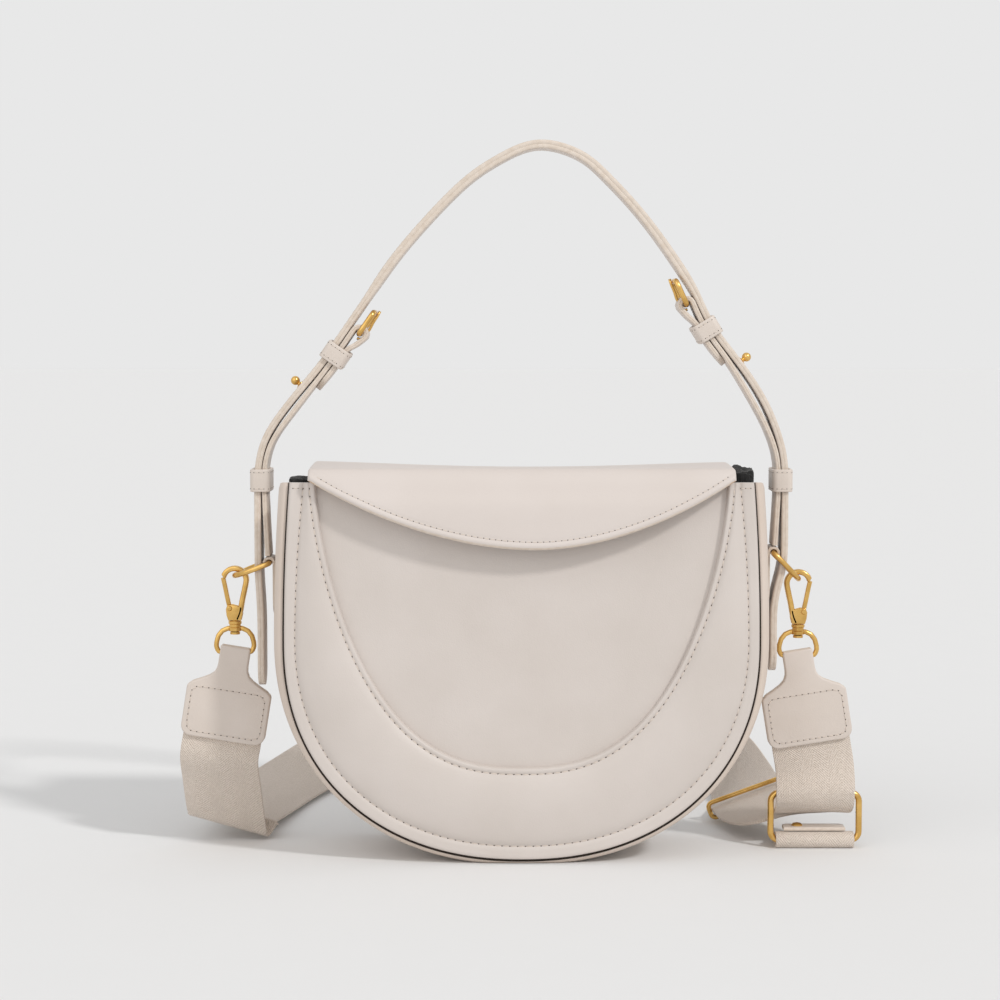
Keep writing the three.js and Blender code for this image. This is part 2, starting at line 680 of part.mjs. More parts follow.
function sideStrapPieces(side) {
  const sign = sides[side];
  const top = handlePivot - strapWidth / 2 - layerGap;
  const inner = tailX - innerPly;
  const ringZ = ringHeight[side];
  const wide = (x0, x1, z0, z1) => box(...[sign * x0, sign * x1].sort((a, b) => a - b),
    -strapWidth / 2, strapWidth / 2, z0, z1);
  const tail = [[tailX, top], [tailX, ringZ - tailLeanDrop.start],
    [tailX - tailLean, ringZ - tailLeanDrop.end], [tailX - tailLean, tailEnd[side]]];
  const tailLine = tail.map(([x, z]) => new THREE.Vector2(sign * x, z));
  addPart(`strap_tail_${side}`, acrossY(bandShape(tailLine, strapThick), strapWidth), creamLeather);

  const half = loopThick / 2;
  const fall = acrossY(polygon([[sign * (inner - half), top], [sign * (inner + half), top],
    [sign * (inner + half), lowerKeeperTop - lowerKeeperLength], [sign * (eyeX + half), ringZ],
    [sign * (eyeX - half), ringZ], [sign * (inner - half), lowerKeeperTop - lowerKeeperLength]]), strapWidth);
  const sewn = wide(sideFace, sideFace + sewnTabThick, ringZ - sewnTabLength, ringZ);
  const whole = joined(fall, rodAlongY(eyeHole + eyeWall, strapWidth, sign * eyeX, ringZ), sewn);
  addPart(`side_strap_lower_${side}`,
    cutBy(whole, rodAlongY(eyeHole, 2 * strapWidth, sign * eyeX, ringZ)), creamLeather);

  const outerFace = tailX + strapThick / 2;
  const stackHalf = (outerFace - inner + half) / 2 + keeperSlack;
  const sleeve = framed(stackHalf + keeperWall, sleeveHalf, keeperWall, keeperWall);
  addPart(`lower_keeper_${side}`, extruded(sleeve, lowerKeeperLength), creamLeather,
    placed(sign * (outerFace + inner - half) / 2, 0, lowerKeeperTop - lowerKeeperLength / 2));
}

function dRing(side) {
  const sign = sides[side];
  const ringInner = strapWidth / 2 + bucklePlay;
  const outline = (wire) => {
    const shape = new THREE.Shape();
    const halfWidth = ringInner + wire;
    const back = wire - ringWire / 2;
    const tip = ringReach - ringWire / 2 + wire;
    shape.moveTo(back, -halfWidth);
    shape.lineTo(back, halfWidth);
    shape.absellipse(-ringShoulder, 0, tip - ringShoulder, halfWidth, Math.PI / 2, 1.5 * Math.PI, false, 0);
    return shape;
  };
  const shape = outline(ringWire);
  shape.holes.push(outline(0));
  const ring = extruded(shape, ringWire, ringBevel, roundSegments);
  if (sign > 0) {
    ring.rotateZ(Math.PI);
  }
  addPart(`d_ring_${side}`, ring, gold, placed(sign * eyeX, 0, ringHeight[side], sign * ringDrop[side]));
}

// Place of the hook's round top, hung on the D-ring's end.
function hookCentre(side) {
  const drop = THREE.MathUtils.degToRad(ringDrop[side]);
  const x = eyeX + ringReach * Math.cos(drop);
  const z = ringHeight[side] - ringReach * Math.sin(drop) + ringWire / 2 + hookPlay - hookEye;
  return { x: sides[side] * x, z };
}

function teardrop(radius, footHalf, footDrop) {
  const shape = new THREE.Shape();
  shape.moveTo(-footHalf, -footDrop);
  shape.lineTo(footHalf, -footDrop);
  shape.lineTo(radius, 0);
  shape.absarc(0, 0, radius, 0, Math.PI);
  return shape;
}

function snapHook(side) {
  const sign = sides[side];
  const { x, z } = hookCentre(side);
  const hook = placed(x, 0, z);
  const shape = teardrop(hookEye + hookWall, hookBaseHalf, hookBaseDrop);
  shape.holes.push(teardrop(hookEye, hookEyeFootHalf, hookEyeFoot));
  const shankEnd = -hookBaseDrop - clearance - collarHeight - clearance;
  const blank = joined(acrossY(shape, hookThick, 0, 0, roundSegments),
    rodAlongZ(shankRadius, shankEnd - clearance, -hookBaseDrop + hookWall),
    rodAlongZ(shankHead, shankEnd - shankHeadThick, shankEnd));
  const pivot = { x: sign * gateOffset, z: -gateFoot };
  const outside = sign * 2 * hookEye;
  const windowEdges = [sign * (gateOffset - gateThick), outside].sort((a, b) => a - b);
  const window = box(...windowEdges, -hookThick, hookThick, -gateFoot + gateEnd + clearance, gateTop);
  const cheekSlot = gateWidth / 2 + clearance;
  const slotEdges = [pivot.x - sign * (gateEnd + 2 * clearance), outside].sort((a, b) => a - b);
  const slot = box(...slotEdges, -cheekSlot, cheekSlot, pivot.z - gateEnd - 2 * clearance, gateTop);
  const rivetHole = rodAlongY(rivetRadius + clearance, 2 * hookThick, pivot.x, pivot.z);
  addPart(`hook_body_${side}`, cutBy(blank, window, slot, rivetHole), gold, hook);

  const gateHead = { x: sign * (hookEye + hookWall / 2), z: gateTop - clearance };
  const half = gateThick / 2;
  const bar = acrossY(polygon([[pivot.x - half, pivot.z], [pivot.x + half, pivot.z],
    [gateHead.x + half, gateHead.z], [gateHead.x - half, gateHead.z]]), gateWidth);
  const gate = joined(bar, rodAlongY(gateEnd, gateWidth, pivot.x, pivot.z));
  addPart(`hook_gate_${side}`,
    cutBy(gate, rodAlongY(rivetRadius + clearance, 2 * hookThick, pivot.x, pivot.z)), gold, hook);

  const headY = hookThick / 2 + clearance + rivetHeadThick / 2;
  const pin = joined(rodAlongY(rivetRadius, hookThick + 2 * clearance + rivetHeadThick, pivot.x, pivot.z),
    rodAlongY(rivetHead, rivetHeadThick, pivot.x, pivot.z, headY),
    rodAlongY(rivetHead, rivetHeadThick, pivot.x, pivot.z, -headY));
  addPart(`gate_rivet_${side}`, pin, gold, hook);
}

// The swivel ring under the hook and the leather tab folded over its lower bar.
function swivelBar(side) {
  const { x, z } = hookCentre(side);
  const ringTop = z - hookBaseDrop - clearance - collarHeight + swivelWire;
  return { x, z: ringTop - swivelHeight + swivelWire / 2 };
}

function strapEnd(side) {
  const sign = sides[side];
  const bar = swivelBar(side);
  const ringMiddle = swivelHeight / 2 - swivelWire / 2;
  const collarTop = swivelHeight - swivelWire / 2 - swivelWire + collarHeight;
  const ring = acrossY(framed(swivelWidth / 2, swivelHeight / 2, swivelWire, swivelCorner), swivelWire)
    .translate(0, 0, ringMiddle);
  const collar = rodAlongZ(collarRadius, collarTop - collarHeight, collarTop);
  const hole = rodAlongZ(shankRadius + clearance, 0, 2 * collarTop);
  const seat = rodAlongZ(shankHead + clearance, swivelWire, collarTop - collarHeight);
  addPart(`swivel_ring_${side}`, cutBy(joined(ring, collar), hole, seat), gold, placed(bar.x, 0, bar.z));

  const outline = new THREE.Shape();
  outline.moveTo(tabNeckHalf, tabNeckRise);
  outline.lineTo(-tabNeckHalf, tabNeckRise);
  outline.lineTo(-tabNeckHalf, -tabNeckDrop);
  outline.quadraticCurveTo(-tabNeckHalf - tabCorner / 2, -tabShoulderDrop, tabShoulderCut - tabHalf,
    -tabShoulderDrop);
  outline.lineTo(-tabHalf, -tabShoulderDrop - tabShoulderCut);
  outline.absarc(tabCorner - tabHalf, tabCorner - tabDrop, tabCorner, Math.PI, 1.5 * Math.PI);
  outline.absarc(tabHalf - tabCorner, tabCorner - tabDrop, tabCorner, 1.5 * Math.PI, 2 * Math.PI);
  outline.lineTo(tabHalf, -tabShoulderDrop - tabShoulderCut);
  outline.lineTo(tabHalf - tabShoulderCut, -tabShoulderDrop);
  outline.quadraticCurveTo(tabNeckHalf + tabCorner / 2, -tabShoulderDrop, tabNeckHalf, -tabNeckDrop);
  const slotHalf = swivelWire / 2 + 2 * clearance;
  const slot = box(-tabHalf, tabHalf, -slotHalf, slotHalf, -slotHalf, slotHalf);
  const tab = placed(bar.x, 0, bar.z, -sign * tabTilt);
  slot.rotateY(THREE.MathUtils.degToRad(sign * tabTilt));
  addPart(`strap_tab_${side}`, cutBy(acrossY(outline, tabThick), slot), creamLeather, tab);
}

// Bottom middle of a tab, where the webbing comes out.
function tabFoot(side, drop) {
  const bar = swivelBar(side);
  const tilt = THREE.MathUtils.degToRad(tabTilt);
  return new THREE.Vector3(bar.x + sides[side] * drop * Math.sin(tilt), 0, bar.z - drop * Math.cos(tilt));
}

const ringLean = THREE.MathUtils.degToRad(loopRingLean);
const ringHalfWidth = webThick / 2 + loopRingPlay + loopRingWire;
const ringHalfHeight = webWidth / 2 + clearance + loopRingWire;
const loopRingMiddle = ringHalfHeight * Math.cos(ringLean) + ringHalfWidth * Math.sin(ringLean);
const loopRingX = hookCentre('right').x + loopRingPlace.x;
const slideX = hookCentre('right').x + slideOffset;

// One long strip of webbing, from the left tab over the floor behind the bag to the right tab.
function webbing() {
  const tilt = THREE.MathUtils.degToRad(tabTilt);
  const upright = new THREE.Vector3(0, 0, -1);
  const standing = webWidth / 2 + clearance;
  const underTab = (side, drop) => [
    tabFoot(side, tabDrop + drop),
    new THREE.Vector3(-sides[side] * Math.cos(tilt), 0, -Math.sin(tilt)),
  ];
  const landing = (side) => ({ at: [x, y, z], across }) => [
    new THREE.Vector3(hookCentre(side).x + x, y, z),
    new THREE.Vector3(...across),
  ];
  const stations = [
    underTab('left', clearance),
    underTab('left', webFall),
    ...webLandingLeft.map(landing('left')),
    ...webFloorRun.map(([x, y]) => [new THREE.Vector3(x, y, standing), upright]),
    ...webLeanRight.map(landing('right')),
    [new THREE.Vector3(loopRingX, loopRingPlace.y, loopRingMiddle),
      new THREE.Vector3(-Math.sin(ringLean), 0, -Math.cos(ringLean))],
    ...webLandingRight.map(landing('right')),
    underTab('right', webFall),
    underTab('right', clearance),
  ];
  const route = new THREE.CatmullRomCurve3(stations.map(([point]) => point));
  const turns = new THREE.CatmullRomCurve3(stations.map(([, across]) => across));
  const steps = webStationSteps * (stations.length - 1);
  const sections = [];
  for (let i = 0; i <= steps; i += 1) {
    const point = route.getPoint(i / steps);
    const along = route.getTangent(i / steps);
    const across = turns.getPoint(i / steps);
    across.addScaledVector(along, -across.dot(along)).normalize();
    const normal = along.clone().cross(across).multiplyScalar(webThick / 2);
    across.multiplyScalar(webWidth / 2);
    const edges = [point.clone().add(across), point.clone().sub(across)];
    sections.push({
      outer: edges.map((edge) => edge.clone().add(normal)),
      inner: edges.map((edge) => edge.clone().sub(normal)),
    });
  }
  addPart('webbing', stripLoft(sections), creamWebbing);
}

function strapFittings() {
  const slideHalfWidth = webWidth / 2 + slidePlay + slideWire;
  const slideFrame = framed(slideHalfWidth, slideHalfHeight + slideWire / 2, slideWire, 2 * slideWire);
  const slide = acrossY(slideFrame, slideWire, 0, ringBevel);
  addPart('slide_buckle', slide, gold, placed(slideX, 0, slideHeight));

  const barZ = slideHeight - slideHalfHeight;
  const turn = slideWire * Math.SQRT1_2 + clearance + webThick / 2;
  const line = [new THREE.Vector2(loopReach, barZ + turn)];
  for (let i = 0; i <= turnSteps; i += 1) {
    const angle = Math.PI / 2 + Math.PI * i / turnSteps;
    line.push(new THREE.Vector2(turn * Math.cos(angle), barZ + turn * Math.sin(angle)));
  }
  line.push(new THREE.Vector2(loopReach, barZ - turn));
  addPart('webbing_loop_end', acrossX(bandShape(line, webThick), webWidth, slideX), creamWebbing);

  const tabFloor = barZ + turn + webThick / 2 + clearance;
  const tabCeiling = tabFloor + endTabThick;
  const endTab = box(-endTabHalf, endTabHalf, 0, loopReach, tabFloor, tabCeiling);
  addPart('strap_end_tab', endTab.translate(slideX, 0, 0), creamLeather);
  const rivet = rodAlongZ(endRivetRadius, tabCeiling + clearance, tabCeiling + clearance + endRivetThick);
  addPart('end_rivet', rivet, gold, placed(slideX + endRivetOffset, loopReach / 2, 0));

  const ringShape = framed(ringHalfWidth, ringHalfHeight, loopRingWire, loopRingWire);
  const ring = acrossY(ringShape, loopRingWire, 0, ringBevel);
  addPart('loop_ring', ring, gold, placed(loopRingX, loopRingPlace.y, loopRingMiddle, loopRingLean));
}

bodyPanels();
crescentPad();
flapPieces();
zipPieces();
handlePieces();
for (const side of Object.keys(sides)) {
  sideStrapPieces(side);
  dRing(side);
  snapHook(side);
  strapEnd(side);
}
webbing();
strapFittings();

export default bag;
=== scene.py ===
import math

import bmesh
import bpy
from mathutils import Matrix, Vector, noise


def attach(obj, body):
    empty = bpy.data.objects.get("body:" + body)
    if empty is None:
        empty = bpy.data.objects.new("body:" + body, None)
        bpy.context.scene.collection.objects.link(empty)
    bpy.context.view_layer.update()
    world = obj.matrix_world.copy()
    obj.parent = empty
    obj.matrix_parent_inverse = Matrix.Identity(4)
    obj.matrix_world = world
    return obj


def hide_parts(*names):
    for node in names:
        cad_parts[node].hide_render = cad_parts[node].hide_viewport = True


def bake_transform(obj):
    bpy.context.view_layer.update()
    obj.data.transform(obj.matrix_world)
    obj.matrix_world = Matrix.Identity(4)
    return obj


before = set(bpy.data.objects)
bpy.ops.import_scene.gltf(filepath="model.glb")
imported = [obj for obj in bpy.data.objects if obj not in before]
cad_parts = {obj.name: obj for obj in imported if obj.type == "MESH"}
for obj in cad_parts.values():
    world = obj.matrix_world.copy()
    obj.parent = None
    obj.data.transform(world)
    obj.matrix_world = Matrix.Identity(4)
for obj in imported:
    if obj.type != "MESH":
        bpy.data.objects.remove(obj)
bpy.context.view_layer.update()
mm = 0.001
alongY = Vector((0, 1, 0))
sideSigns = {"left": -1, "right": 1}
print("frame loaded:", len(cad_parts), "solids")


# finishes: each is a small node tree on object coordinates, in metres
def startFinish(name, settings):
    finish = bpy.data.materials.new(name)
    finish.use_nodes = True
    tree = finish.node_tree
    shader = tree.nodes["Principled BSDF"]
    for socket, value in settings["shader"].items():
        shader.inputs[socket].default_value = value
    return finish, tree, shader


def addNode(tree, kind, inputs, **settings):
    node = tree.nodes.new(kind)
    for name, value in settings.items():
        setattr(node, name, value)
    for socket, value in inputs.items():
        if isinstance(value, bpy.types.NodeSocket):
            tree.links.new(value, node.inputs[socket])
        else:
            node.inputs[socket].default_value = value
    return node


def tinted(tree, shader, level, settings):
    # the finish's two colours, mixed by a level between the two ends of its spread
    ramp = addNode(tree, "ShaderNodeValToRGB", {"Fac": level})
    colours = (settings["shade"], settings["colour"])
    for element, place, colour in zip(ramp.color_ramp.elements, settings["spread"], colours):
        element.position = place
        element.color = (*colour, 1)
    tree.links.new(ramp.outputs["Color"], shader.inputs["Base Color"])


def objectPlace(tree):
    return addNode(tree, "ShaderNodeTexCoord", {}).outputs["Object"]


def noiseAt(tree, place, scale, detail=3.0):
    node = addNode(tree, "ShaderNodeTexNoise", {"Vector": place, "Scale": scale, "Detail": detail})
    return node.outputs["Fac"]


def calc(tree, operation, first, second=0.0):
    return addNode(tree, "ShaderNodeMath", {0: first, 1: second}, operation=operation).outputs["Value"]


def roughened(tree, shader, level, settings):
    low, high = settings["roughness"]
    node = addNode(tree, "ShaderNodeMapRange", {"Value": level, "To Min": low, "To Max": high})
    tree.links.new(node.outputs["Result"], shader.inputs["Roughness"])


def bumped(tree, shader, height, settings):
    heights = {"Height": height, "Strength": settings["bump"], "Distance": settings["depth"]}
    bump = addNode(tree, "ShaderNodeBump", heights)
    tree.links.new(bump.outputs["Normal"], shader.inputs["Normal"])


def leatherFinish(name, settings):
    finish, tree, shader = startFinish(name, settings)
    place = objectPlace(tree)
    mottle = noiseAt(tree, place, settings["mottle"])
    tinted(tree, shader, mottle, settings)
    roughened(tree, shader, mottle, settings)
    pores = addNode(tree, "ShaderNodeTexVoronoi", {"Vector": place, "Scale": settings["grain"]})
    fine = noiseAt(tree, place, settings["grain"] * settings["finer"])
    creases = noiseAt(tree, place, settings["creases"], 5.0)
    grain = calc(tree, "MULTIPLY", pores.outputs["Distance"], fine)
    height = calc(tree, "ADD", grain, calc(tree, "MULTIPLY", creases, settings["creaseShare"]))
    bumped(tree, shader, height, settings)
    return finish


def metalFinish(name, settings):
    finish, tree, shader = startFinish(name, settings)
    place = objectPlace(tree)
    # clouds of the darker colour; on the gold these clouds are painted reflection
    cloud = noiseAt(tree, place, settings["cloud"])
    tinted(tree, shader, cloud, settings)
    roughened(tree, shader, cloud, settings)
    bumped(tree, shader, noiseAt(tree, place, settings["scratch"], 4.0), settings)
    return finish


def webbingFinish(name, settings):
    finish, tree, shader = startFinish(name, settings)
    along, across = (addNode(tree, "ShaderNodeAttribute", {}, attribute_name=way).outputs["Fac"]
                     for way in ("along", "across"))
    slant = calc(tree, "ADD", along, calc(tree, "PINGPONG", across, settings["chevron"]))
    waves = []
    for run, length, share in ((slant, "rib", "ribShare"), (across, "yarn", "yarnShare")):
        wave = calc(tree, "SINE", calc(tree, "MULTIPLY", run, 2 * math.pi / settings[length]))
        waves.append(calc(tree, "MULTIPLY", wave, settings[share]))
    fuzz = noiseAt(tree, objectPlace(tree), settings["fuzz"], 4.0)
    level = calc(tree, "ADD", calc(tree, "ADD", *waves), fuzz)
    tinted(tree, shader, level, settings)
    bumped(tree, shader, level, settings)
    return finish


def clothFinish(name, settings):
    finish, tree, shader = startFinish(name, settings)
    place = objectPlace(tree)
    wave = {"Vector": place, "Scale": settings["weave"], "Distortion": settings["waver"]}
    waves = [addNode(tree, "ShaderNodeTexWave", wave, bands_direction=way).outputs["Fac"]
             for way in ("X", "Y")]
    level = calc(tree, "ADD", calc(tree, "MULTIPLY", *waves), noiseAt(tree, place, settings["fuzz"]))
    tinted(tree, shader, level, settings)
    bumped(tree, shader, level, settings)
    return finish


def speckledFinish(name, settings):
    finish, tree, shader = startFinish(name, settings)
    speck = noiseAt(tree, objectPlace(tree), settings["speck"], 4.0)
    tinted(tree, shader, speck, settings)
    bumped(tree, shader, speck, settings)
    return finish


leather = {"shader": {"Specular IOR Level": 0.4, "Coat Weight": 0.05, "Coat Roughness": 0.4},
           "spread": (0.32, 0.68), "mottle": 26.0, "roughness": (0.4, 0.52), "grain": 1500.0, "finer": 2.5,
           "creases": 160.0, "creaseShare": 0.5, "bump": 0.16, "depth": 0.0004}
bagLeather = leatherFinish("creamLeather", {
    **leather, "colour": (0.635, 0.577, 0.538), "shade": (0.6, 0.542, 0.5)})
# the band's leather: the cream leather tinted warmer, and this warm tint is painted shade like that on the
# bag's shaded sides
bandLeather = leatherFinish("bandLeather", {
    **leather, "colour": (0.665, 0.572, 0.502), "shade": (0.63, 0.532, 0.455), "roughness": (0.42, 0.54)})
flapLeather = leatherFinish("paleLeather", {
    **leather, "colour": (0.665, 0.601, 0.563), "shade": (0.638, 0.573, 0.532), "mottle": 22.0,
    "roughness": (0.38, 0.5), "bump": 0.14})
strapLeather = leatherFinish("strapLeather", {
    **leather, "colour": (0.69, 0.615, 0.555), "shade": (0.64, 0.56, 0.495), "mottle": 60.0,
    "roughness": (0.4, 0.55), "grain": 1300.0, "creases": 260.0, "creaseShare": 0.6, "bump": 0.22})
tabLeather = leatherFinish("tabLeather", {
    **leather, "colour": (0.665, 0.592, 0.537), "shade": (0.625, 0.55, 0.492), "mottle": 40.0,
    "grain": 1400.0, "creases": 200.0, "bump": 0.18})

speckled = {"spread": (0.3, 0.7), "depth": 0.0003}
suede = speckledFinish("suede", {
    **speckled, "shader": {"Roughness": 0.95, "Sheen Weight": 0.3}, "colour": (0.6, 0.41, 0.265),
    "shade": (0.5, 0.33, 0.205), "speck": 900.0, "bump": 0.5})
strapEdge = speckledFinish("strapEdge", {
    **speckled, "shader": {"Roughness": 0.55}, "colour": (0.71, 0.625, 0.545), "shade": (0.63, 0.535, 0.445),
    "speck": 420.0, "bump": 0.25})
darkEdge = speckledFinish("edgePaint", {
    **speckled, "shader": {"Roughness": 0.6, "Specular IOR Level": 0.25}, "colour": (0.028, 0.017, 0.011),
    "shade": (0.014, 0.008, 0.005), "speck": 600.0, "bump": 0.2})
threadFinish = speckledFinish("thread", {
    **speckled, "shader": {"Roughness": 0.7, "Sheen Weight": 0.2}, "colour": (0.72, 0.635, 0.56),
    "shade": (0.64, 0.555, 0.48), "speck": 2600.0, "bump": 0.4})
# needle holes: dark dots whose darkness is painted shade, standing in for the hollows of the holes
holeShadeFinish = speckledFinish("needleHole", {
    **speckled, "shader": {"Roughness": 0.8}, "colour": (0.11, 0.08, 0.06), "shade": (0.06, 0.045, 0.035),
    "speck": 900.0, "bump": 0.2})

metal = {"shader": {"Metallic": 1.0}, "spread": (0.3, 0.7), "depth": 0.0002}
# gold: the darker clouds of its mottle are painted reflection, standing in for dark surroundings mirrored in
# the metal
goldMetal = metalFinish("goldMetal", {
    **metal, "colour": (0.83, 0.53, 0.175), "shade": (0.62, 0.37, 0.105), "cloud": 150.0,
    "roughness": (0.16, 0.3), "scratch": 900.0, "bump": 0.05})
magnetSteel = metalFinish("magnetSteel", {
    **metal, "colour": (0.5, 0.5, 0.49), "shade": (0.4, 0.4, 0.39), "cloud": 90.0,
    "roughness": (0.3, 0.42), "scratch": 1200.0, "bump": 0.08})

creamWebbing = webbingFinish("creamWebbing", {
    "shader": {"Roughness": 0.88, "Sheen Weight": 0.25}, "colour": (0.76, 0.672, 0.595),
    "shade": (0.57, 0.485, 0.41), "spread": (0.1, 0.85), "chevron": 6.3, "rib": 1.25, "ribShare": 0.32,
    "yarn": 0.8, "yarnShare": 0.12, "fuzz": 900.0, "bump": 0.6, "depth": 0.0006})
blackCloth = clothFinish("blackCloth", {
    "shader": {"Roughness": 0.9, "Sheen Weight": 0.15}, "colour": (0.022, 0.021, 0.021),
    "shade": (0.004, 0.004, 0.004), "spread": (0.3, 1.0), "weave": 420.0, "waver": 0.6, "fuzz": 260.0,
    "bump": 0.5, "depth": 0.0005})
print("finishes made:", len(bpy.data.materials))


# lines, sections and lofts, all in millimetres until addPiece scales them
def smoothStep(value, start, end):
    share = min(1.0, max(0.0, (value - start) / (end - start)))
    return share * share * (3 - 2 * share)


def quarterRound(gap, radius):
    # share of the full thickness at a gap from a rounded rim
    return math.sqrt(max(0.0, 1 - max(0.0, 1 - gap / radius) ** 2))


def smoothLine(points, perSpan, power=0.5):
    ends = [2 * points[0] - points[1], *points, 2 * points[-1] - points[-2]]
    line = []
    for p0, p1, p2, p3 in zip(ends, ends[1:], ends[2:], ends[3:]):
        middle = (p2 - p1).length ** power
        middle = middle if middle > 1e-4 else 1.0
        first, last = ((b - a).length ** power for a, b in ((p0, p1), (p2, p3)))
        first = first if first > 1e-4 else middle
        last = last if last > 1e-4 else middle
        leave = ((p1 - p0) / first - (p2 - p0) / (first + middle) + (p2 - p1) / middle) * middle
        arrive = ((p2 - p1) / middle - (p3 - p1) / (middle + last) + (p3 - p2) / last) * middle
        for step in range(perSpan):
            t = step / perSpan
            line.append(p1 * (2 * t ** 3 - 3 * t ** 2 + 1) + leave * (t ** 3 - 2 * t ** 2 + t)
                        + p2 * (3 * t ** 2 - 2 * t ** 3) + arrive * (t ** 3 - t ** 2))
    return line + [points[-1].copy()]


def runs(points):
    lengths = [0.0]
    for a, b in zip(points, points[1:]):
        lengths.append(lengths[-1] + (b - a).length)
    return lengths


def pointAt(points, lengths, want):
    k = 0
    while k < len(points) - 2 and lengths[k + 1] < want:
        k += 1
    span = lengths[k + 1] - lengths[k]
    return points[k].lerp(points[k + 1], (want - lengths[k]) / span if span else 0.0)


def evenly(points, step=None, count=None):
    lengths = runs(points)
    count = count or max(2, round(lengths[-1] / step))
    return [pointAt(points, lengths, lengths[-1] * i / count) for i in range(count + 1)]


def framesAlong(points, across, looped=False, slanted=False):
    # frames along a line: outward, across and onward; slanted ones keep their across lines as given
    frames = []
    for i, point in enumerate(points):
        before = points[i - 1] if i or looped else point
        after = points[(i + 1) % len(points)] if i + 1 < len(points) or looped else point
        tangent = (after - before).normalized()
        side = across[i] if isinstance(across, list) else across
        if not slanted:
            side = side - tangent * side.dot(tangent)
        side = side.normalized()
        place = Matrix((side.cross(tangent).normalized(), side, tangent)).transposed().to_4x4()
        place.translation = point
        frames.append(place)
    return frames


def circleSection(radius, count=14):
    return [(radius * math.cos(2 * math.pi * i / count), radius * math.sin(2 * math.pi * i / count))
            for i in range(count)]


def boxSection(halfX, halfY, corner, steps=4):
    section = []
    for quarter, (sx, sy) in enumerate(((1, 1), (-1, 1), (-1, -1), (1, -1))):
        for i in range(steps + 1):
            angle = math.pi / 2 * (quarter + i / steps)
            section.append((sx * (halfX - corner) + corner * math.cos(angle),
                            sy * (halfY - corner) + corner * math.sin(angle)))
    return section


def loft(rows, looped=False, ringed=True, acrossOf=None):
    bm = bmesh.new()
    number = bm.verts.layers.int.new("number")
    along = bm.verts.layers.float.new("along")
    across = bm.verts.layers.float.new("across")
    first = [bm.verts.new(place) for place in rows[0]]
    for k, vert in enumerate(first):
        vert[number] = k
        vert[across] = acrossOf[k] if acrossOf else 0.0
    ring = [bm.edges.new(pair) for pair in zip(first, first[1:] + first[:1] if ringed else first[1:])]
    run = 0.0
    for before, row in zip(rows, rows[1:] + (rows[:1] if looped else [])):
        run += (sum(row, Vector()) - sum(before, Vector())).length / len(row)
        grown = bmesh.ops.extrude_edge_only(bm, edges=ring)["geom"]
        fresh = {item for item in grown if isinstance(item, bmesh.types.BMVert)}
        for vert in fresh:
            vert.co = row[vert[number]]
            vert[along] = run
        edges = (item for item in grown if isinstance(item, bmesh.types.BMEdge))
        ring = [edge for edge in edges if fresh.issuperset(edge.verts)]
    if looped:
        bmesh.ops.remove_doubles(bm, verts=bm.verts, dist=1e-4)
    elif ringed:
        bmesh.ops.holes_fill(bm, edges=[edge for edge in bm.edges if edge.is_boundary], sides=0)
    bmesh.ops.recalc_face_normals(bm, faces=bm.faces)
    return bm


def sweep(section, frames, looped=False, widths=None, thicks=None):
    rows = []
    for i, place in enumerate(frames):
        wide = widths[i] if widths else 1.0
        thick = thicks[i] if thicks else 1.0
        rows.append([place @ Vector((x * thick, y * wide, 0)) for x, y in section])
    return loft(rows, looped, acrossOf=[y for _, y in section])


def eased(points, passes):
    # the same line with its bends softened and its ends kept
    for _ in range(passes):
        middles = [(a + 2 * b + c) / 4 for a, b, c in zip(points, points[1:], points[2:])]
        points = [points[0], *middles, points[-1]]
    return points


def plate(outline, thickness, rim, segments=3):
    # a flat outline grown along its own thickness vector, with rounded rims
    bm = bmesh.new()
    face = bm.faces.new([bm.verts.new(place) for place in outline])
    grown = bmesh.ops.extrude_face_region(bm, geom=[face])["geom"]
    bmesh.ops.translate(bm, vec=thickness, verts=[g for g in grown if isinstance(g, bmesh.types.BMVert)])
    bmesh.ops.holes_fill(bm, edges=[edge for edge in bm.edges if edge.is_boundary], sides=0)
    bmesh.ops.recalc_face_normals(bm, faces=bm.faces)
    way = thickness.normalized()
    rims = [edge for edge in bm.edges if any(abs(f.normal.dot(way)) > 0.9 for f in edge.link_faces)
            and any(abs(f.normal.dot(way)) < 0.5 for f in edge.link_faces)]
    bmesh.ops.bevel(bm, geom=rims, offset=rim, offset_type="OFFSET", segments=segments, profile=0.5,
                    affect="EDGES", material=-1, clamp_overlap=True)
    return bm


def spun(profile, place, axis, steps=24):
    # (radius, height) points turned round an axis through a place
    axis = axis.normalized()
    side = axis.orthogonal().normalized()
    bm = bmesh.new()
    verts = [bm.verts.new(place + side * radius + axis * height) for radius, height in profile]
    edges = [bm.edges.new(pair) for pair in zip(verts, verts[1:])]
    bmesh.ops.spin(bm, geom=verts + edges, cent=place, axis=axis, angle=2 * math.pi, steps=steps,
                   use_merge=True, use_duplicate=False)
    bmesh.ops.remove_doubles(bm, verts=bm.verts, dist=1e-4)
    bmesh.ops.recalc_face_normals(bm, faces=bm.faces)
    return bm


def together(first, *others):
    # the other meshes' shapes go into the first
    for other in others:
        mesh = bpy.data.meshes.new("joining")
        other.to_mesh(mesh)
        other.free()
        first.from_mesh(mesh)
        bpy.data.meshes.remove(mesh)
    return first


def paintFaces(bm, chosen, index):
    for face in bm.faces:
        if chosen(face):
            face.material_index = index


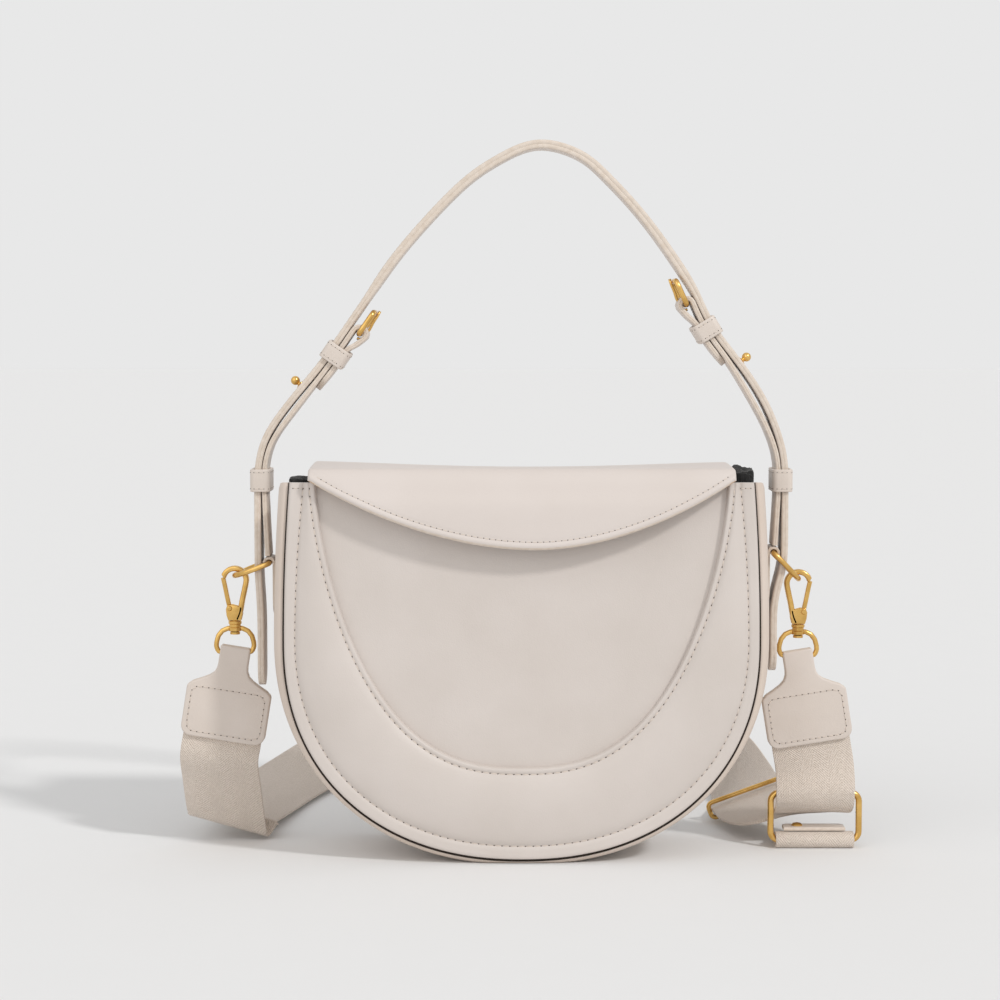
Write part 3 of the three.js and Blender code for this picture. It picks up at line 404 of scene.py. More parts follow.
def addPiece(name, bm, finishes, body=None, nodes=(), sharp=38.0):
    bmesh.ops.scale(bm, vec=(mm, mm, mm), verts=bm.verts)
    for face in bm.faces:
        face.smooth = True
    for edge in bm.edges:
        edge.smooth = edge.calc_face_angle(0.0) < math.radians(sharp)
    mesh = bpy.data.meshes.new(name)
    bm.to_mesh(mesh)
    bm.free()
    for finish in finishes:
        mesh.materials.append(finish)
    piece = bpy.data.objects.new(name, mesh)
    bpy.context.scene.collection.objects.link(piece)
    if body:
        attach(piece, body)
    if nodes:
        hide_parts(*nodes)
    return piece


stitchSize = {"pitch": 3.7, "length": 2.9, "width": 0.7, "height": 0.4,
              "hole": 0.44, "holeWidth": 0.8, "holeDepth": 0.32}


def stitchRow(bm, line, outward, holeBm, pitch=stitchSize["pitch"]):
    # threads lie along the line, dark dots of painted needle-hole shade between them; outward is a vector or
    # a function of a point
    s = stitchSize
    points = evenly(line, step=pitch)
    share = pitch / s["pitch"]
    dot = s["hole"] * share
    thread = Matrix.Diagonal((s["length"] * share / 2, s["width"] * share / 2, s["height"] * share / 2, 1))
    hole = Matrix.Diagonal((dot, dot * s["holeWidth"], s["height"] * share * s["holeDepth"], 1))
    for a, b in zip(points, points[1:]):
        middle = (a + b) / 2
        out = outward(middle) if callable(outward) else outward
        tangent = (b - a).normalized()
        side = out.cross(tangent).normalized()
        place = Matrix((tangent, side, out)).transposed().to_4x4()
        place.translation = middle
        bmesh.ops.create_icosphere(bm, subdivisions=1, radius=1.0, matrix=place @ thread)
        place.translation = a
        bmesh.ops.create_icosphere(holeBm, subdivisions=1, radius=1.0, matrix=place @ hole)


def addStitches(name, rows, body=None):
    threads, holes = bmesh.new(), bmesh.new()
    for line, outward, *pitch in rows:
        stitchRow(threads, line, outward, holes, *pitch)
    paintFaces(holes, lambda face: True, 1)
    return addPiece(name, together(threads, holes), [threadFinish, holeShadeFinish], body, sharp=80.0)


# camera, floor and light
studio = {"cameraPlace": (-0.0102, -1.24, 0.253), "cameraAim": (-0.0102, -0.04, 0.172), "lens": 92.9,
          "backColour": (0.807, 0.807, 0.807), "skyStrength": 0.655, "floorSize": 14.0,
          "floor": {"shader": {"Roughness": 0.9, "Specular IOR Level": 0.1}, "speck": 30.0,
                    "shade": (0.8038, 0.8038, 0.8038), "spread": (0.3, 0.7)},
          "suns": {"key": {"from": (0.31, -0.30, 0.34), "power": 1.3, "angle": 6.0,
                           "colour": (1.0, 0.992, 0.98)},
                   "fill": {"from": (-0.5, -0.7, 0.45), "power": 0.6, "angle": 70.0,
                            "colour": (1.0, 0.985, 0.965)}}}


def buildStudio(settings):
    camera = bpy.data.objects.new("camera", bpy.data.cameras.new("camera"))
    camera.data.lens = settings["lens"]
    camera.data.sensor_width = 36.0
    camera.location = settings["cameraPlace"]
    look = Vector(settings["cameraAim"]) - camera.location
    camera.rotation_euler = look.to_track_quat("-Z", "Y").to_euler()
    bpy.context.scene.collection.objects.link(camera)
    bpy.context.scene.camera = camera
    for name, light in settings["suns"].items():
        sun = bpy.data.objects.new(name + "Sun", bpy.data.lights.new(name + "Sun", "SUN"))
        sun.data.energy = light["power"]
        sun.data.angle = math.radians(light["angle"])
        sun.data.color = light["colour"]
        sun.rotation_euler = (-Vector(light["from"])).to_track_quat("-Z", "Y").to_euler()
        bpy.context.scene.collection.objects.link(sun)

    world = bpy.data.worlds.new("studio")
    bpy.context.scene.world = world
    world.use_nodes = True
    tree = world.node_tree
    back = tree.nodes["Background"]
    back.inputs["Color"].default_value = (1, 1, 1, 1)
    back.inputs["Strength"].default_value = settings["skyStrength"]
    seen = addNode(tree, "ShaderNodeBackground", {"Color": (*settings["backColour"], 1), "Strength": 1.0})
    rays = addNode(tree, "ShaderNodeLightPath", {})
    mirrored = calc(tree, "MAXIMUM", rays.outputs["Is Camera Ray"], rays.outputs["Is Glossy Ray"])
    shown = calc(tree, "MAXIMUM", mirrored, rays.outputs["Is Transmission Ray"])
    mix = addNode(tree, "ShaderNodeMixShader", {0: shown, 1: back.outputs[0], 2: seen.outputs[0]})
    tree.links.new(mix.outputs[0], tree.nodes["World Output"].inputs["Surface"])

    bm = bmesh.new()
    bmesh.ops.create_grid(bm, x_segments=1, y_segments=1, size=settings["floorSize"])
    mesh = bpy.data.meshes.new("floor")
    bm.to_mesh(mesh)
    bm.free()
    floor = bpy.data.objects.new("floor", mesh)
    paint = {**settings["floor"], "colour": settings["backColour"]}
    finish, tree, shader = startFinish("floorPaint", paint)
    tinted(tree, shader, noiseAt(tree, objectPlace(tree), paint["speck"]), paint)
    mesh.materials.append(finish)
    bpy.context.scene.collection.objects.link(floor)
    bpy.context.scene.view_settings.view_transform = "Standard"


buildStudio(studio)
print("studio built")


# body: two half-moon panels, a band between them and a puffed crescent on the front
bagShape = {"halfWidth": 111.5, "top": 180.0, "bottom": 1.9, "roundStart": 104.0, "fullness": 2.2,
            "taper": 3.0, "halfDepth": 38.0, "leather": 2.0, "bulge": 6.0, "backCorner": 170.0,
            "seamHalfWidth": 95.9, "seamBottom": 46.1, "seamFullness": (2.6, 1.6)}


def hangingArc(halfWidth, drop, start, powerX, powerZ):
    # half an oval below a height, fuller at its corners than an ellipse where the powers are over 2
    line = []
    for i in range(361):
        angle = math.pi * i / 360
        across = -math.copysign(abs(math.cos(angle)) ** (2 / powerX), math.cos(angle))
        line.append(Vector((halfWidth * across, 0, start - drop * math.sin(angle) ** (2 / powerZ))))
    return line


def halfMoon(grow, count, top=None):
    # a panel's outline from its left corner down and round to the right one
    s = bagShape
    top = top or s["top"]
    halfWidth, start = s["halfWidth"] + grow, s["roundStart"]
    arc = hangingArc(halfWidth, start - s["bottom"] + grow, start, s["fullness"], s["fullness"])
    side = []
    for k in range(1, 13):
        z = start + (top - start) * k / 12
        side.append(Vector((halfWidth - s["taper"] * ((z - start) / (s["top"] - start)) ** 2, 0, z)))
    return evenly([Vector((-p.x, 0, p.z)) for p in side[::-1]] + arc + side, count=count)


def seamLine(grow, count):
    # the crescent's inner edge
    s = bagShape
    drop = s["top"] - s["seamBottom"] + grow
    return evenly(hangingArc(s["seamHalfWidth"] + grow, drop, s["top"], *s["seamFullness"]), count=count)


gussetBand = {"steps": 150, "wallEnd": 35.4, "lowSwell": 0.72, "fullFrom": 20.0, "fullBy": 110.0,
              "dropFrom": -37.0, "dropBy": -15.0,
              "swell": ((37.3, 1.0), (37.0, 2.2), (36.0, 3.5), (34.0, 4.5), (30.0, 5.3),
                        (22.0, 5.8), (11.0, 6.0))}


def buildGusset(settings):
    s, half = settings, settings["swell"]
    leather, top, backCorner = (bagShape[name] for name in ("leather", "top", "backCorner"))
    stations = [(-y, out) for y, out in half] + [(0.0, bagShape["bulge"]), *half[::-1]]
    rows = []
    for place in framesAlong(halfMoon(0, s["steps"]), alongY):
        share = smoothStep(place.translation.z, s["fullFrom"], s["fullBy"])
        full = s["lowSwell"] + (1 - s["lowSwell"]) * share
        outer, inner = [], []
        for y, out in stations:
            wall = max(-s["wallEnd"], min(s["wallEnd"], y))
            rim = top - (top - backCorner) * smoothStep(y, s["dropFrom"], s["dropBy"])
            faces = ((outer, out * full, y, 0.0), (inner, out * full - leather, wall, leather))
            for line, x, depth, lowest in faces:
                point = place @ Vector((x, depth, 0))
                point.z = min(max(point.z, lowest), rim)
                line.append(point)
        rows.append(outer + inner[::-1])
    addPiece("gussetBand", loft(rows), [bandLeather], "bag_body", ["gusset"], sharp=60.0)


panelLook = {"steps": 120, "dome": 1.3, "rim": 0.5, "seamLap": 2.0, "seamStep": 0.2, "insetWall": 0.8,
             "rings": (1.0, 0.985, 0.96, 0.92, 0.85, 0.74, 0.6, 0.44, 0.27, 0.1, 0.0),
             "paintOut": 0.3, "paintDepth": 0.7, "paintSize": 0.22, "lowerThickening": 0.5}


def domedSheet(line, depth, way, settings):
    # rings of a half-moon line drawn in towards the middle of its top edge, swelling along way
    middle = Vector((0, 0, bagShape["top"]))
    rows = []
    for ring in settings["rings"]:
        swell = way * settings["dome"] * (1 - ring ** 3)
        rows.append([middle + (point - middle) * ring + alongY * depth + swell for point in line])
    bm = loft(rows, ringed=False)
    bmesh.ops.remove_doubles(bm, verts=bm.verts, dist=1e-4)
    if sum((face.normal for face in bm.faces), Vector()).dot(way) < 0:
        bmesh.ops.reverse_faces(bm, faces=bm.faces)
    return bm


def addWall(piece, thickness):
    wall = piece.modifiers.new("wall", "SOLIDIFY")
    wall.thickness = thickness * mm
    wall.offset = -1.0
    return piece


def buildPanels(settings):
    s, steps = settings, settings["steps"]
    half, leather, backCorner = (bagShape[name] for name in ("halfDepth", "leather", "backCorner"))
    panel = plate([p - alongY * half for p in halfMoon(0, steps)], alongY * leather, s["rim"])
    addPiece("frontPanel", panel, [bagLeather], "bag_body", ["front_panel"])
    inset = domedSheet(seamLine(s["seamLap"], steps), -half - s["seamStep"], -alongY, s)
    addWall(addPiece("innerPanel", inset, [bagLeather], "bag_body"), s["insetWall"])
    back = domedSheet(halfMoon(0, steps, backCorner), half, alongY, s)
    addWall(addPiece("backPanel", back, [bagLeather], "bag_body", ["back_panel"]), leather)
    for name, way, top in (("front", -1, bagShape["top"]), ("back", 1, backCorner)):
        depth = alongY * way * (half - s["paintDepth"])
        line = [p + depth for p in halfMoon(s["paintOut"], 2 * steps, top)]
        # the dark line along the rim grows thicker towards the bottom
        sizes = [s["paintSize"] + s["lowerThickening"] * (1 - p.z / bagShape["top"]) for p in line]
        edge = sweep(circleSection(1.0, 8), framesAlong(line, alongY), widths=sizes, thicks=sizes)
        addPiece(name + "EdgePaint", edge, [darkEdge], "bag_body")


padShape = {"steps": 150, "edge": 1.5, "lip": 3.5, "crown": 2.6, "crownPower": 0.8, "fullWidth": 40.0,
            "edgeInset": 0.3, "gap": 0.1, "proud": 0.25, "thinnest": 0.1, "edgeRound": 0.8, "seamRound": 1.1,
            "edgeBand": 6.4, "seamBand": 3.1, "dip": 0.55, "dipWidth": 0.6, "dipEnd": 0.45, "middles": 12,
            "edgeStops": (0.0, 0.12, 0.35, 0.8, 2.0, 4.0), "dipStops": (0.9, 0.4, 0.0),
            "seamStops": (1.3, 0.9, 0.5, 0.2, 0.05, 0.0), "threadLift": 0.12,
            "endShares": (0.12, 0.47, 0.88), "endDrop": (0, -0.1, -2.6), "endPitch": 2.6,
            "backInset": 6.5, "backDrop": 3.0, "backLift": 0.62}


def padHeight(reach, width):
    # height of the pad over the panel at a distance in from its outer edge
    s = padShape
    left = width - reach
    if reach < s["edgeBand"]:
        height = s["edge"]
    elif left < s["seamBand"]:
        height = s["lip"]
    else:
        span = width - s["edgeBand"] - s["seamBand"]
        share = (reach - s["edgeBand"]) / span
        full = min(1.0, span / (s["fullWidth"] - s["edgeBand"] - s["seamBand"]))
        height = s["edge"] + (s["lip"] - s["edge"]) * smoothStep(share, 0, 1)
        height += s["crown"] * full * math.sin(math.pi * share) ** s["crownPower"]
    for spot in (reach - s["edgeBand"], left - s["seamBand"]):
        height -= s["dip"] * math.exp(-(spot / s["dipWidth"]) ** 2)
    rounded = min(quarterRound(reach, s["edgeRound"]), quarterRound(left, s["seamRound"]))
    return s["thinnest"] + (height - s["thinnest"]) * rounded


def padStations(width):
    s = padShape
    near = [*s["edgeStops"], *(s["edgeBand"] - d for d in s["dipStops"])]
    far = [*(s["seamBand"] - d for d in s["dipStops"][::-1]), *s["seamStops"]]
    first, last = s["edgeBand"] + s["dipEnd"], width - s["seamBand"] - s["dipEnd"]
    middles = [first + (last - first) * i / (s["middles"] - 1) for i in range(s["middles"])]
    return near + middles + [width - x for x in far]


def padPoint(edge, seam, reach):
    width = (seam - edge).length
    point = edge.lerp(seam, reach / width)
    return Vector((point.x, -bagShape["halfDepth"] - padShape["proud"] - padHeight(reach, width), point.z))


def buildPad(settings):
    s = settings
    pairs = list(zip(halfMoon(-s["edgeInset"], s["steps"]), seamLine(0, s["steps"])))
    back = Vector((0, -bagShape["halfDepth"] - s["gap"], 0))
    rows = []
    for edge, seam in pairs:
        front = [padPoint(edge, seam, reach) for reach in padStations((seam - edge).length)]
        rows.append(front + [seam + back, edge + back])
    pad = addPiece("crescentPad", loft(rows), [bagLeather], "bag_body", ["front_crescent"],
                   sharp=70.0)

    lift = Vector((0, -s["threadLift"], 0))
    outRow = [padPoint(edge, seam, s["edgeBand"]) + lift for edge, seam in pairs[1:-1]]
    inRow = [padPoint(edge, seam, (seam - edge).length - s["seamBand"]) + lift for edge, seam in pairs[1:-1]]
    rows = [(outRow, -alongY), (inRow, -alongY)]
    drop = Vector(s["endDrop"])
    for edge, seam in (pairs[0], pairs[-1]):
        width = (seam - edge).length
        row = [padPoint(edge, seam, width * share) + drop for share in s["endShares"]]
        rows.append((row, -alongY, s["endPitch"]))
    addStitches("frontStitches", rows, "bag_body")
    lift = Vector((0, bagShape["halfDepth"] + s["backLift"], 0))
    line = halfMoon(-s["backInset"], s["steps"], bagShape["backCorner"] - s["backDrop"])
    addStitches("backStitches", [([p + lift for p in line], alongY)], "bag_body")


liningLook = {"steps": 70, "inset": 2.5, "drop": 15.0, "half": 35.4, "rim": 1.2, "wall": 0.9}


def buildLining(settings):
    s = settings
    outline = halfMoon(-s["inset"], s["steps"], bagShape["top"] - s["drop"])
    bm = plate([p - alongY * s["half"] for p in outline], alongY * 2 * s["half"], s["rim"], 2)
    upper = [face for face in bm.faces if face.calc_center_median().z > bagShape["roundStart"]]
    bmesh.ops.delete(bm, geom=[face for face in upper if face.normal.z > 0.9], context="FACES")
    addWall(addPiece("liningPouch", bm, [blackCloth], "bag_body", ["lining"]), s["wall"])


buildGusset(gussetBand)
buildPanels(panelLook)
buildPad(padShape)
buildLining(liningLook)
print("body built")


# flap: over the top from the back, with a curved lip on the front
flapShape = {"halfWidth": 99.5, "tip": 149.3, "rise": 32.0, "curve": 1.9, "lowest": 6.0, "half": 1.5,
             "profile": ((39.3, 180.7), (37.3, 184.35), (28.0, 184.5), (0.0, 186.5), (-35.0, 185.5),
                         (-43.0, 184.0), (-47.0, 174.75), (-49.0, 166.15), (-50.0, 146.3)),
             "crease": ((0, -0.0420, 0.187), (0, -0.0465, 0.179)),
             "sag": 2.4, "tilt": 0.5, "sagRun": 6.0, "sagFront": -41.0, "sagSpan": 26.0,
             "sideStops": (0.0, 0.06, 0.25, 0.6, 1.1, 1.8, 3.2, 5.5), "columns": 40,
             "rowsAbove": 26, "rowsBelow": 22, "creaseClear": 9.0, "rimBand": 6.0,
             "rimStops": (4.8, 3.8, 3.0, 2.3, 1.7, 1.1, 0.6, 0.25, 0.05, 0.0), "thinnest": 0.02,
             "bead": 0.3, "beadInset": 2.0, "beadWidth": 1.1,
             "stitchInset": 3.8, "stitchDip": 0.25, "dipWidth": 0.7, "stitchReach": 0.96, "stitchPitch": 2.8}
flapProfile = smoothLine([Vector((0, y, z)) for y, z in flapShape["profile"]], 24, 0.0)
flapRuns = runs(flapProfile)


def flapLength(x):
    # length of the flap from its fold to its lip at a place across it
    s = flapShape
    beside = x - s["lowest"]
    share = abs(beside) / (s["halfWidth"] - math.copysign(s["lowest"], beside))
    lip = s["tip"] + s["rise"] * share ** s["curve"]
    for k in range(len(flapProfile) - 1, 0, -1):
        low, high = flapProfile[k], flapProfile[k - 1]
        if high.z >= lip >= low.z and low.y < 0:
            return flapRuns[k] - (flapRuns[k] - flapRuns[k - 1]) * (lip - low.z) / (high.z - low.z)
    return flapRuns[-1]


def flapPoint(x, run, depth):
    # a point of the flap, depth below its middle layer
    s = flapShape
    near = pointAt(flapProfile, flapRuns, run)
    before, after = max(run - 0.5, 0), min(run + 0.5, flapRuns[-1])
    step = pointAt(flapProfile, flapRuns, after) - pointAt(flapProfile, flapRuns, before)
    point = near - Vector((0, step.z, -step.y)).normalized() * depth
    share = x / s["halfWidth"]
    sag = s["sag"] * (1 - share ** 2) ** 1.5 + s["tilt"] * (1 + share) / 2
    hung = min(run / s["sagRun"], (near.y - s["sagFront"]) / s["sagSpan"])
    return Vector((x, point.y, point.z - sag * smoothStep(hung, 0, 1)))


def flapHalf(left, side):
    # half the flap's thickness at a distance from its lip and from its side
    s = flapShape
    bead = s["bead"] * math.exp(-((left - s["beadInset"]) / s["beadWidth"]) ** 2)
    bead -= s["stitchDip"] * math.exp(-((left - s["stitchInset"]) / s["dipWidth"]) ** 2)
    rounded = quarterRound(left, s["half"]) * max(math.sqrt(0.004), quarterRound(side, s["half"]))
    return max(s["thinnest"], (s["half"] + bead) * rounded)


def buildFlap(settings):
    s = settings
    ends = [s["halfWidth"] - d for d in s["sideStops"]]
    right = ends + [ends[-1] * (1 - i / s["columns"]) for i in range(1, s["columns"])]
    columns = [-x for x in right] + [0.0] + right[::-1]
    above = min(flapLength(x) for x in columns) - s["creaseClear"]
    rows = []
    for x in columns:
        length = flapLength(x)
        below = length - s["rimBand"] - above
        stops = [above * k / s["rowsAbove"] for k in range(s["rowsAbove"])]
        stops += [above + below * k / s["rowsBelow"] for k in range(s["rowsBelow"] + 1)]
        stops += [length - d for d in s["rimStops"]]
        under, over = [], []
        for run in stops:
            half = flapHalf(length - run, s["halfWidth"] - abs(x))
            under.append(flapPoint(x, run, half))
            over.append(flapPoint(x, run, -half))
        rows.append(under + over[::-1])
    bm = loft(rows)

    def isUnder(face):
        return face.normal.z < -0.5 or (face.normal.y > 0.35 and face.calc_center_median().y < -30)

    def isRim(face):
        return face.normal.y < 0.6 and face.normal.z < -0.4 and face.calc_center_median().y < -46
    paintFaces(bm, isUnder, 1)
    paintFaces(bm, isRim, 2)
    flap = addPiece("flapLeather", bm, [flapLeather, suede, strapEdge], None, ["flap", "flap_lip"],
                    sharp=60.0)
    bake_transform(flap)
    row = []
    for i in range(161):
        x = s["halfWidth"] * (1 - 2 * i / 160) * s["stitchReach"]
        row.append(flapPoint(x, flapLength(x) - s["stitchInset"], s["stitchDip"] - s["half"] - 0.1))
    stitches = addStitches("flapStitches", [(row, Vector((0, -1, 0.1)).normalized(), s["stitchPitch"])])
    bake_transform(stitches)


flapStrip = {"halfWidth": 99.5, "low": 150.0, "high": 180.0, "face": 38.3, "leather": 2.0, "rim": 0.7,
             "rollHalf": 99.0, "rollPlace": (39.35, 180.2), "rollRadius": 1.25, "stitchInset": 3.0,
             "stitchRows": (153.5, 176.0), "threadFace": 40.4}


def buildFlapStrip(settings):
    # the strip that holds the flap to the back panel, with the roll of its fold
    s, half = settings, settings["halfWidth"]
    corners = ((-half, s["low"]), (half, s["low"]), (half, s["high"]), (-half, s["high"]))
    band = plate([Vector((x, s["face"], z)) for x, z in corners], alongY * s["leather"], s["rim"])
    roll = [Vector((s["rollHalf"] * share, *s["rollPlace"])) for share in (-1, -1 / 3, 1 / 3, 1)]
    band = together(band, sweep(circleSection(s["rollRadius"], 12), framesAlong(roll, alongY)))
    addPiece("flapBackStrip", band, [flapLeather], "bag_body", ["flap_back_strip"])
    side = half - s["stitchInset"]
    lines = [[(x, z) for x in (-side, 0.0, side)] for z in s["stitchRows"]]
    lines += [[(x, z) for z in s["stitchRows"]] for x in (-side, side)]
    rows = [([Vector((x, s["threadFace"], z)) for x, z in line], alongY) for line in lines]
    addStitches("stripStitches", rows, "bag_body")


buildFlap(flapShape)
buildFlapStrip(flapStrip)
for node in ("front_magnet", "flap_magnet"):
    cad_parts[node].data.materials[0] = magnetSteel
print("flap built")


# zip: two tapes with teeth, folded tape ends at the corners, slider and pull
zipShape = {"plane": 173.0, "sewn": 35.1, "half": 0.6, "foldStart": -77.0, "foldEnd": 85.0, "length": 103.0,
            "endGap": 0.3, "tapeStops": (24.0, 14.0), "spans": 24, "wave": 0.25, "waveRun": 9.0,
            "tooth": 0.8, "toothWide": 2.4, "toothHigh": 2.6, "toothFill": (0.48, 0.92, 0.94),
            "toothRim": 0.25, "pitch": 2.4, "frontShift": 0.25, "backShift": 0.5}


def zipTape(sign, start, end):
    s, half = zipShape, zipShape["half"]
    edge = s["tooth"] + s["toothWide"]
    stops = (s["sewn"], *s["tapeStops"], edge, edge - s["tooth"])
    section = [(stops[0], -half)] + [(y, half) for y in stops] + [(y, -half) for y in stops[:0:-1]]
    rows = []
    for i in range(s["spans"] + 1):
        x = start + (end - start) * i / s["spans"]
        wave = s["wave"] * math.sin(x / s["waveRun"])
        rows.append([Vector((x, sign * y, s["plane"] + z + (wave if y in s["tapeStops"] else 0.0)))
                     for y, z in section])
    return loft(rows)


def zipTeeth(sign, start, end):
    s = zipShape
    shift = s["backShift"] if sign > 0 else s["frontShift"]
    shape = zip((s["pitch"], s["toothWide"], s["toothHigh"]), s["toothFill"])
    size = Matrix.Diagonal((*(length * fill for length, fill in shape), 1))
    bm = bmesh.new()
    for i in range(int((end - start) / s["pitch"])):
        x = start + (i + shift) * s["pitch"]
        spot = Matrix.Translation((x, sign * (s["tooth"] + s["toothWide"] / 2), s["plane"]))
        bmesh.ops.create_cube(bm, size=1.0, matrix=spot @ size)
    bmesh.ops.bevel(bm, geom=list(bm.edges), offset=s["toothRim"], offset_type="OFFSET", segments=1,
                    profile=0.5, affect="EDGES", material=-1, clamp_overlap=True)
    return bm


zipEnds = {"seed": 5, "place": 106.3, "cuts": 11, "softened": 3, "crumple": 0.22, "wrinkle": 0.6,
           "left": {"size": (9.2, 20.5, 8.2), "middle": 176.4, "rough": 1.0},
           "right": {"size": (9.4, 20.5, 11.5), "middle": 178.4, "rough": 2.4}}


def foldedEnd(side):
    # the tape's end, doubled over and sewn into the corner
    s, sign, lump = zipEnds, sideSigns[side], zipEnds[side]
    bm = bmesh.new()
    bmesh.ops.create_cube(bm, size=1.0)
    bmesh.ops.subdivide_edges(bm, edges=list(bm.edges), cuts=s["cuts"], use_grid_fill=True)
    place = Matrix.Translation((sign * s["place"], 0, lump["middle"])) @ Matrix.Diagonal((*lump["size"], 1))
    bmesh.ops.transform(bm, matrix=place, verts=bm.verts)
    for _ in range(s["softened"]):
        bmesh.ops.smooth_vert(bm, verts=bm.verts, factor=0.5, use_axis_x=True, use_axis_y=True,
                              use_axis_z=True)
    noise.seed_set(s["seed"])
    for vert in bm.verts:
        turn = noise.noise_vector(vert.co * s["crumple"] + Vector((sign * 9.0, 0, 0)))
        fine = noise.noise_vector(vert.co * s["wrinkle"])
        high = lump["rough"] if vert.co.z > lump["middle"] else 0.5
        vert.co += Vector((0.5 * turn.x, turn.y + 0.5 * fine.y, high * (turn.z + 0.4 * fine.z)))
    return bm


def buildZip(settings):
    s = settings
    for name, sign in (("front", -1), ("back", 1)):
        half = zipTape(sign, s["foldStart"], s["foldEnd"])
        teeth = zipTeeth(sign, s["foldStart"], s["foldEnd"])
        paintFaces(teeth, lambda face: True, 1)
        addPiece(name + "ZipTape", together(half, teeth), [blackCloth, goldMetal], "zip_" + name,
                 ["zip_tape_" + name])
    spans = {"left": (-s["length"], s["foldStart"] - s["endGap"]),
             "right": (s["foldEnd"] + s["endGap"], s["length"])}
    for side, (start, end) in spans.items():
        lump = together(foldedEnd(side), zipTape(-1, start, end), zipTape(1, start, end))
        teeth = together(zipTeeth(-1, start, end), zipTeeth(1, start, end))
        paintFaces(teeth, lambda face: True, 1)
        addPiece(side + "ZipEnd", together(lump, teeth), [blackCloth, goldMetal], "bag_body",
                 ["zip_end_" + side], sharp=50.0)
    for node in ("zip_slider", "zip_pull"):
        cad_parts[node].data.materials[0] = goldMetal


buildZip(zipShape)
print("zip built")


# handle: one long strap from tail to tail, with a doubled ply, buckle, keeper and stud at each side
handleShape = {"tailX": 126.2, "half": 1.6, "wide": 9.0, "corner": 0.7, "groove": (0.22, 0.18),
               "thinTip": 0.02, "fullFrom": 262.0, "fullBy": 280.0, "fuller": 0.32, "stitchPlace": 6.6,
               "stitchLift": 0.02,
               "plyHalf": 1.2, "innerPly": 3.2, "foldedPly": 6.0, "barTurn": 3.338, "barInward": 6.538,
               "reach": 14.6, "keeperLength": 9.0, "foldTip": 18.0, "apart": {"left": 0.8, "right": 1.6},
               "swing": ((0, 0, 0.187), (0, 0, 0.206)), "start": 184.0,
               "keeper": {"left": 240.8, "right": 252.6}, "ring": {"left": 139.5, "right": 144.5},
               "tail": {"left": 80.0, "right": 87.0}, "tailLean": {"left": 1.2, "right": 5.0},
               "shares": ((-1, 184), (-0.987, 193.1), (-0.962, 201.3), (-0.912, 210.7), (-0.849, 220.7),
                          (-0.802, 227.7), (-0.7464, 236.4), (-0.6022, 262.5), (-0.4517, 289.2),
                          (-0.2377, 318.3), (-0.0919, 331.6), (0.061, 339.4), (0.2203, 334.3),
                          (0.3241, 323.3), (0.4723, 302.8), (0.6371, 273.3), (0.6989, 257.4),
                          (0.7425, 248.3), (0.788, 241.1), (0.8376, 233), (0.8756, 226.2),
                          (0.9136, 218.4), (0.948, 209.6), (0.977, 199.5), (0.995, 190.5), (1, 184))}
routeStops = [Vector((share * handleShape["tailX"], 0, z)) for share, z in handleShape["shares"]]
routeLine = evenly(smoothLine(routeStops, 20, 0.0), step=0.5)
routeRuns = runs(routeLine)


def keeperRun(side):
    order = range(len(routeLine)) if side == "left" else range(len(routeLine) - 1, -1, -1)
    return next(routeRuns[i] for i in order if routeLine[i].z >= handleShape["keeper"][side])


keeperRuns = {side: keeperRun(side) for side in sideSigns}


def besideHandle(side, distance, inward):
    # a point, and the strap's direction there, a distance from the keeper towards the top
    run = keeperRuns[side] - sideSigns[side] * distance
    along = pointAt(routeLine, routeRuns, run + 1.0) - pointAt(routeLine, routeRuns, run - 1.0)
    along.normalize()
    return pointAt(routeLine, routeRuns, run) + Vector((along.z, 0, -along.x)) * inward, along


def strapSection(half, wide, corner):
    # a strap's section with a fine groove between its two glued plies
    section = boxSection(half, wide, corner, 3)
    halfGroove, deep = handleShape["groove"]
    grooved = []
    for a, b in zip(section, section[1:] + section[:1]):
        grooved.append(a)
        if a[0] * b[0] < 0 and abs(a[1] + b[1]) > 2 * wide - 0.1:
            start = math.copysign(halfGroove, a[0])
            grooved += [(start, a[1]), (0.0, a[1] - math.copysign(deep, a[1])), (-start, a[1])]
    return grooved


def roundedTips(lengths, wide, first=True, last=True):
    # how much narrower a strap is near its rounded ends
    thin = math.sqrt(handleShape["thinTip"])
    widths = []
    for run in lengths:
        gaps = [gap for gap, wanted in ((run, first), (lengths[-1] - run, last)) if wanted]
        widths.append(min(max(thin, quarterRound(gap, wide)) for gap in gaps))
    return widths


def strapPiece(line, half, wide, first=True, last=True, thickAt=None):
    points = evenly(line, step=1.5)
    widths = roundedTips(runs(points), wide, first, last)
    section = strapSection(half, wide, min(handleShape["corner"], half * 0.7))
    thicks = [thickAt(point) for point in points] if thickAt else None
    bm = sweep(section, framesAlong(points, alongY), widths=widths, thicks=thicks)
    paintFaces(bm, lambda face: abs(face.normal.y) > 0.6, 1)
    return bm


def tailLine(side):
    s = handleShape
    ring = s["ring"][side]
    hang = [(0.0, 178), (0.0, 165), (0.0, ring + 4), (0.08, ring - 6), (0.72, ring - 18), (1.0, ring - 27),
            (1.0, ring - 40), (1.0, s["tail"][side])]
    return [Vector((sideSigns[side] * (s["tailX"] - s["tailLean"][side] * share), 0, z)) for share, z in hang]


def fullerAt(point):
    # the handle is thicker over its top
    s = handleShape
    return 1.0 + s["fuller"] * smoothStep(point.z, s["fullFrom"], s["fullBy"])


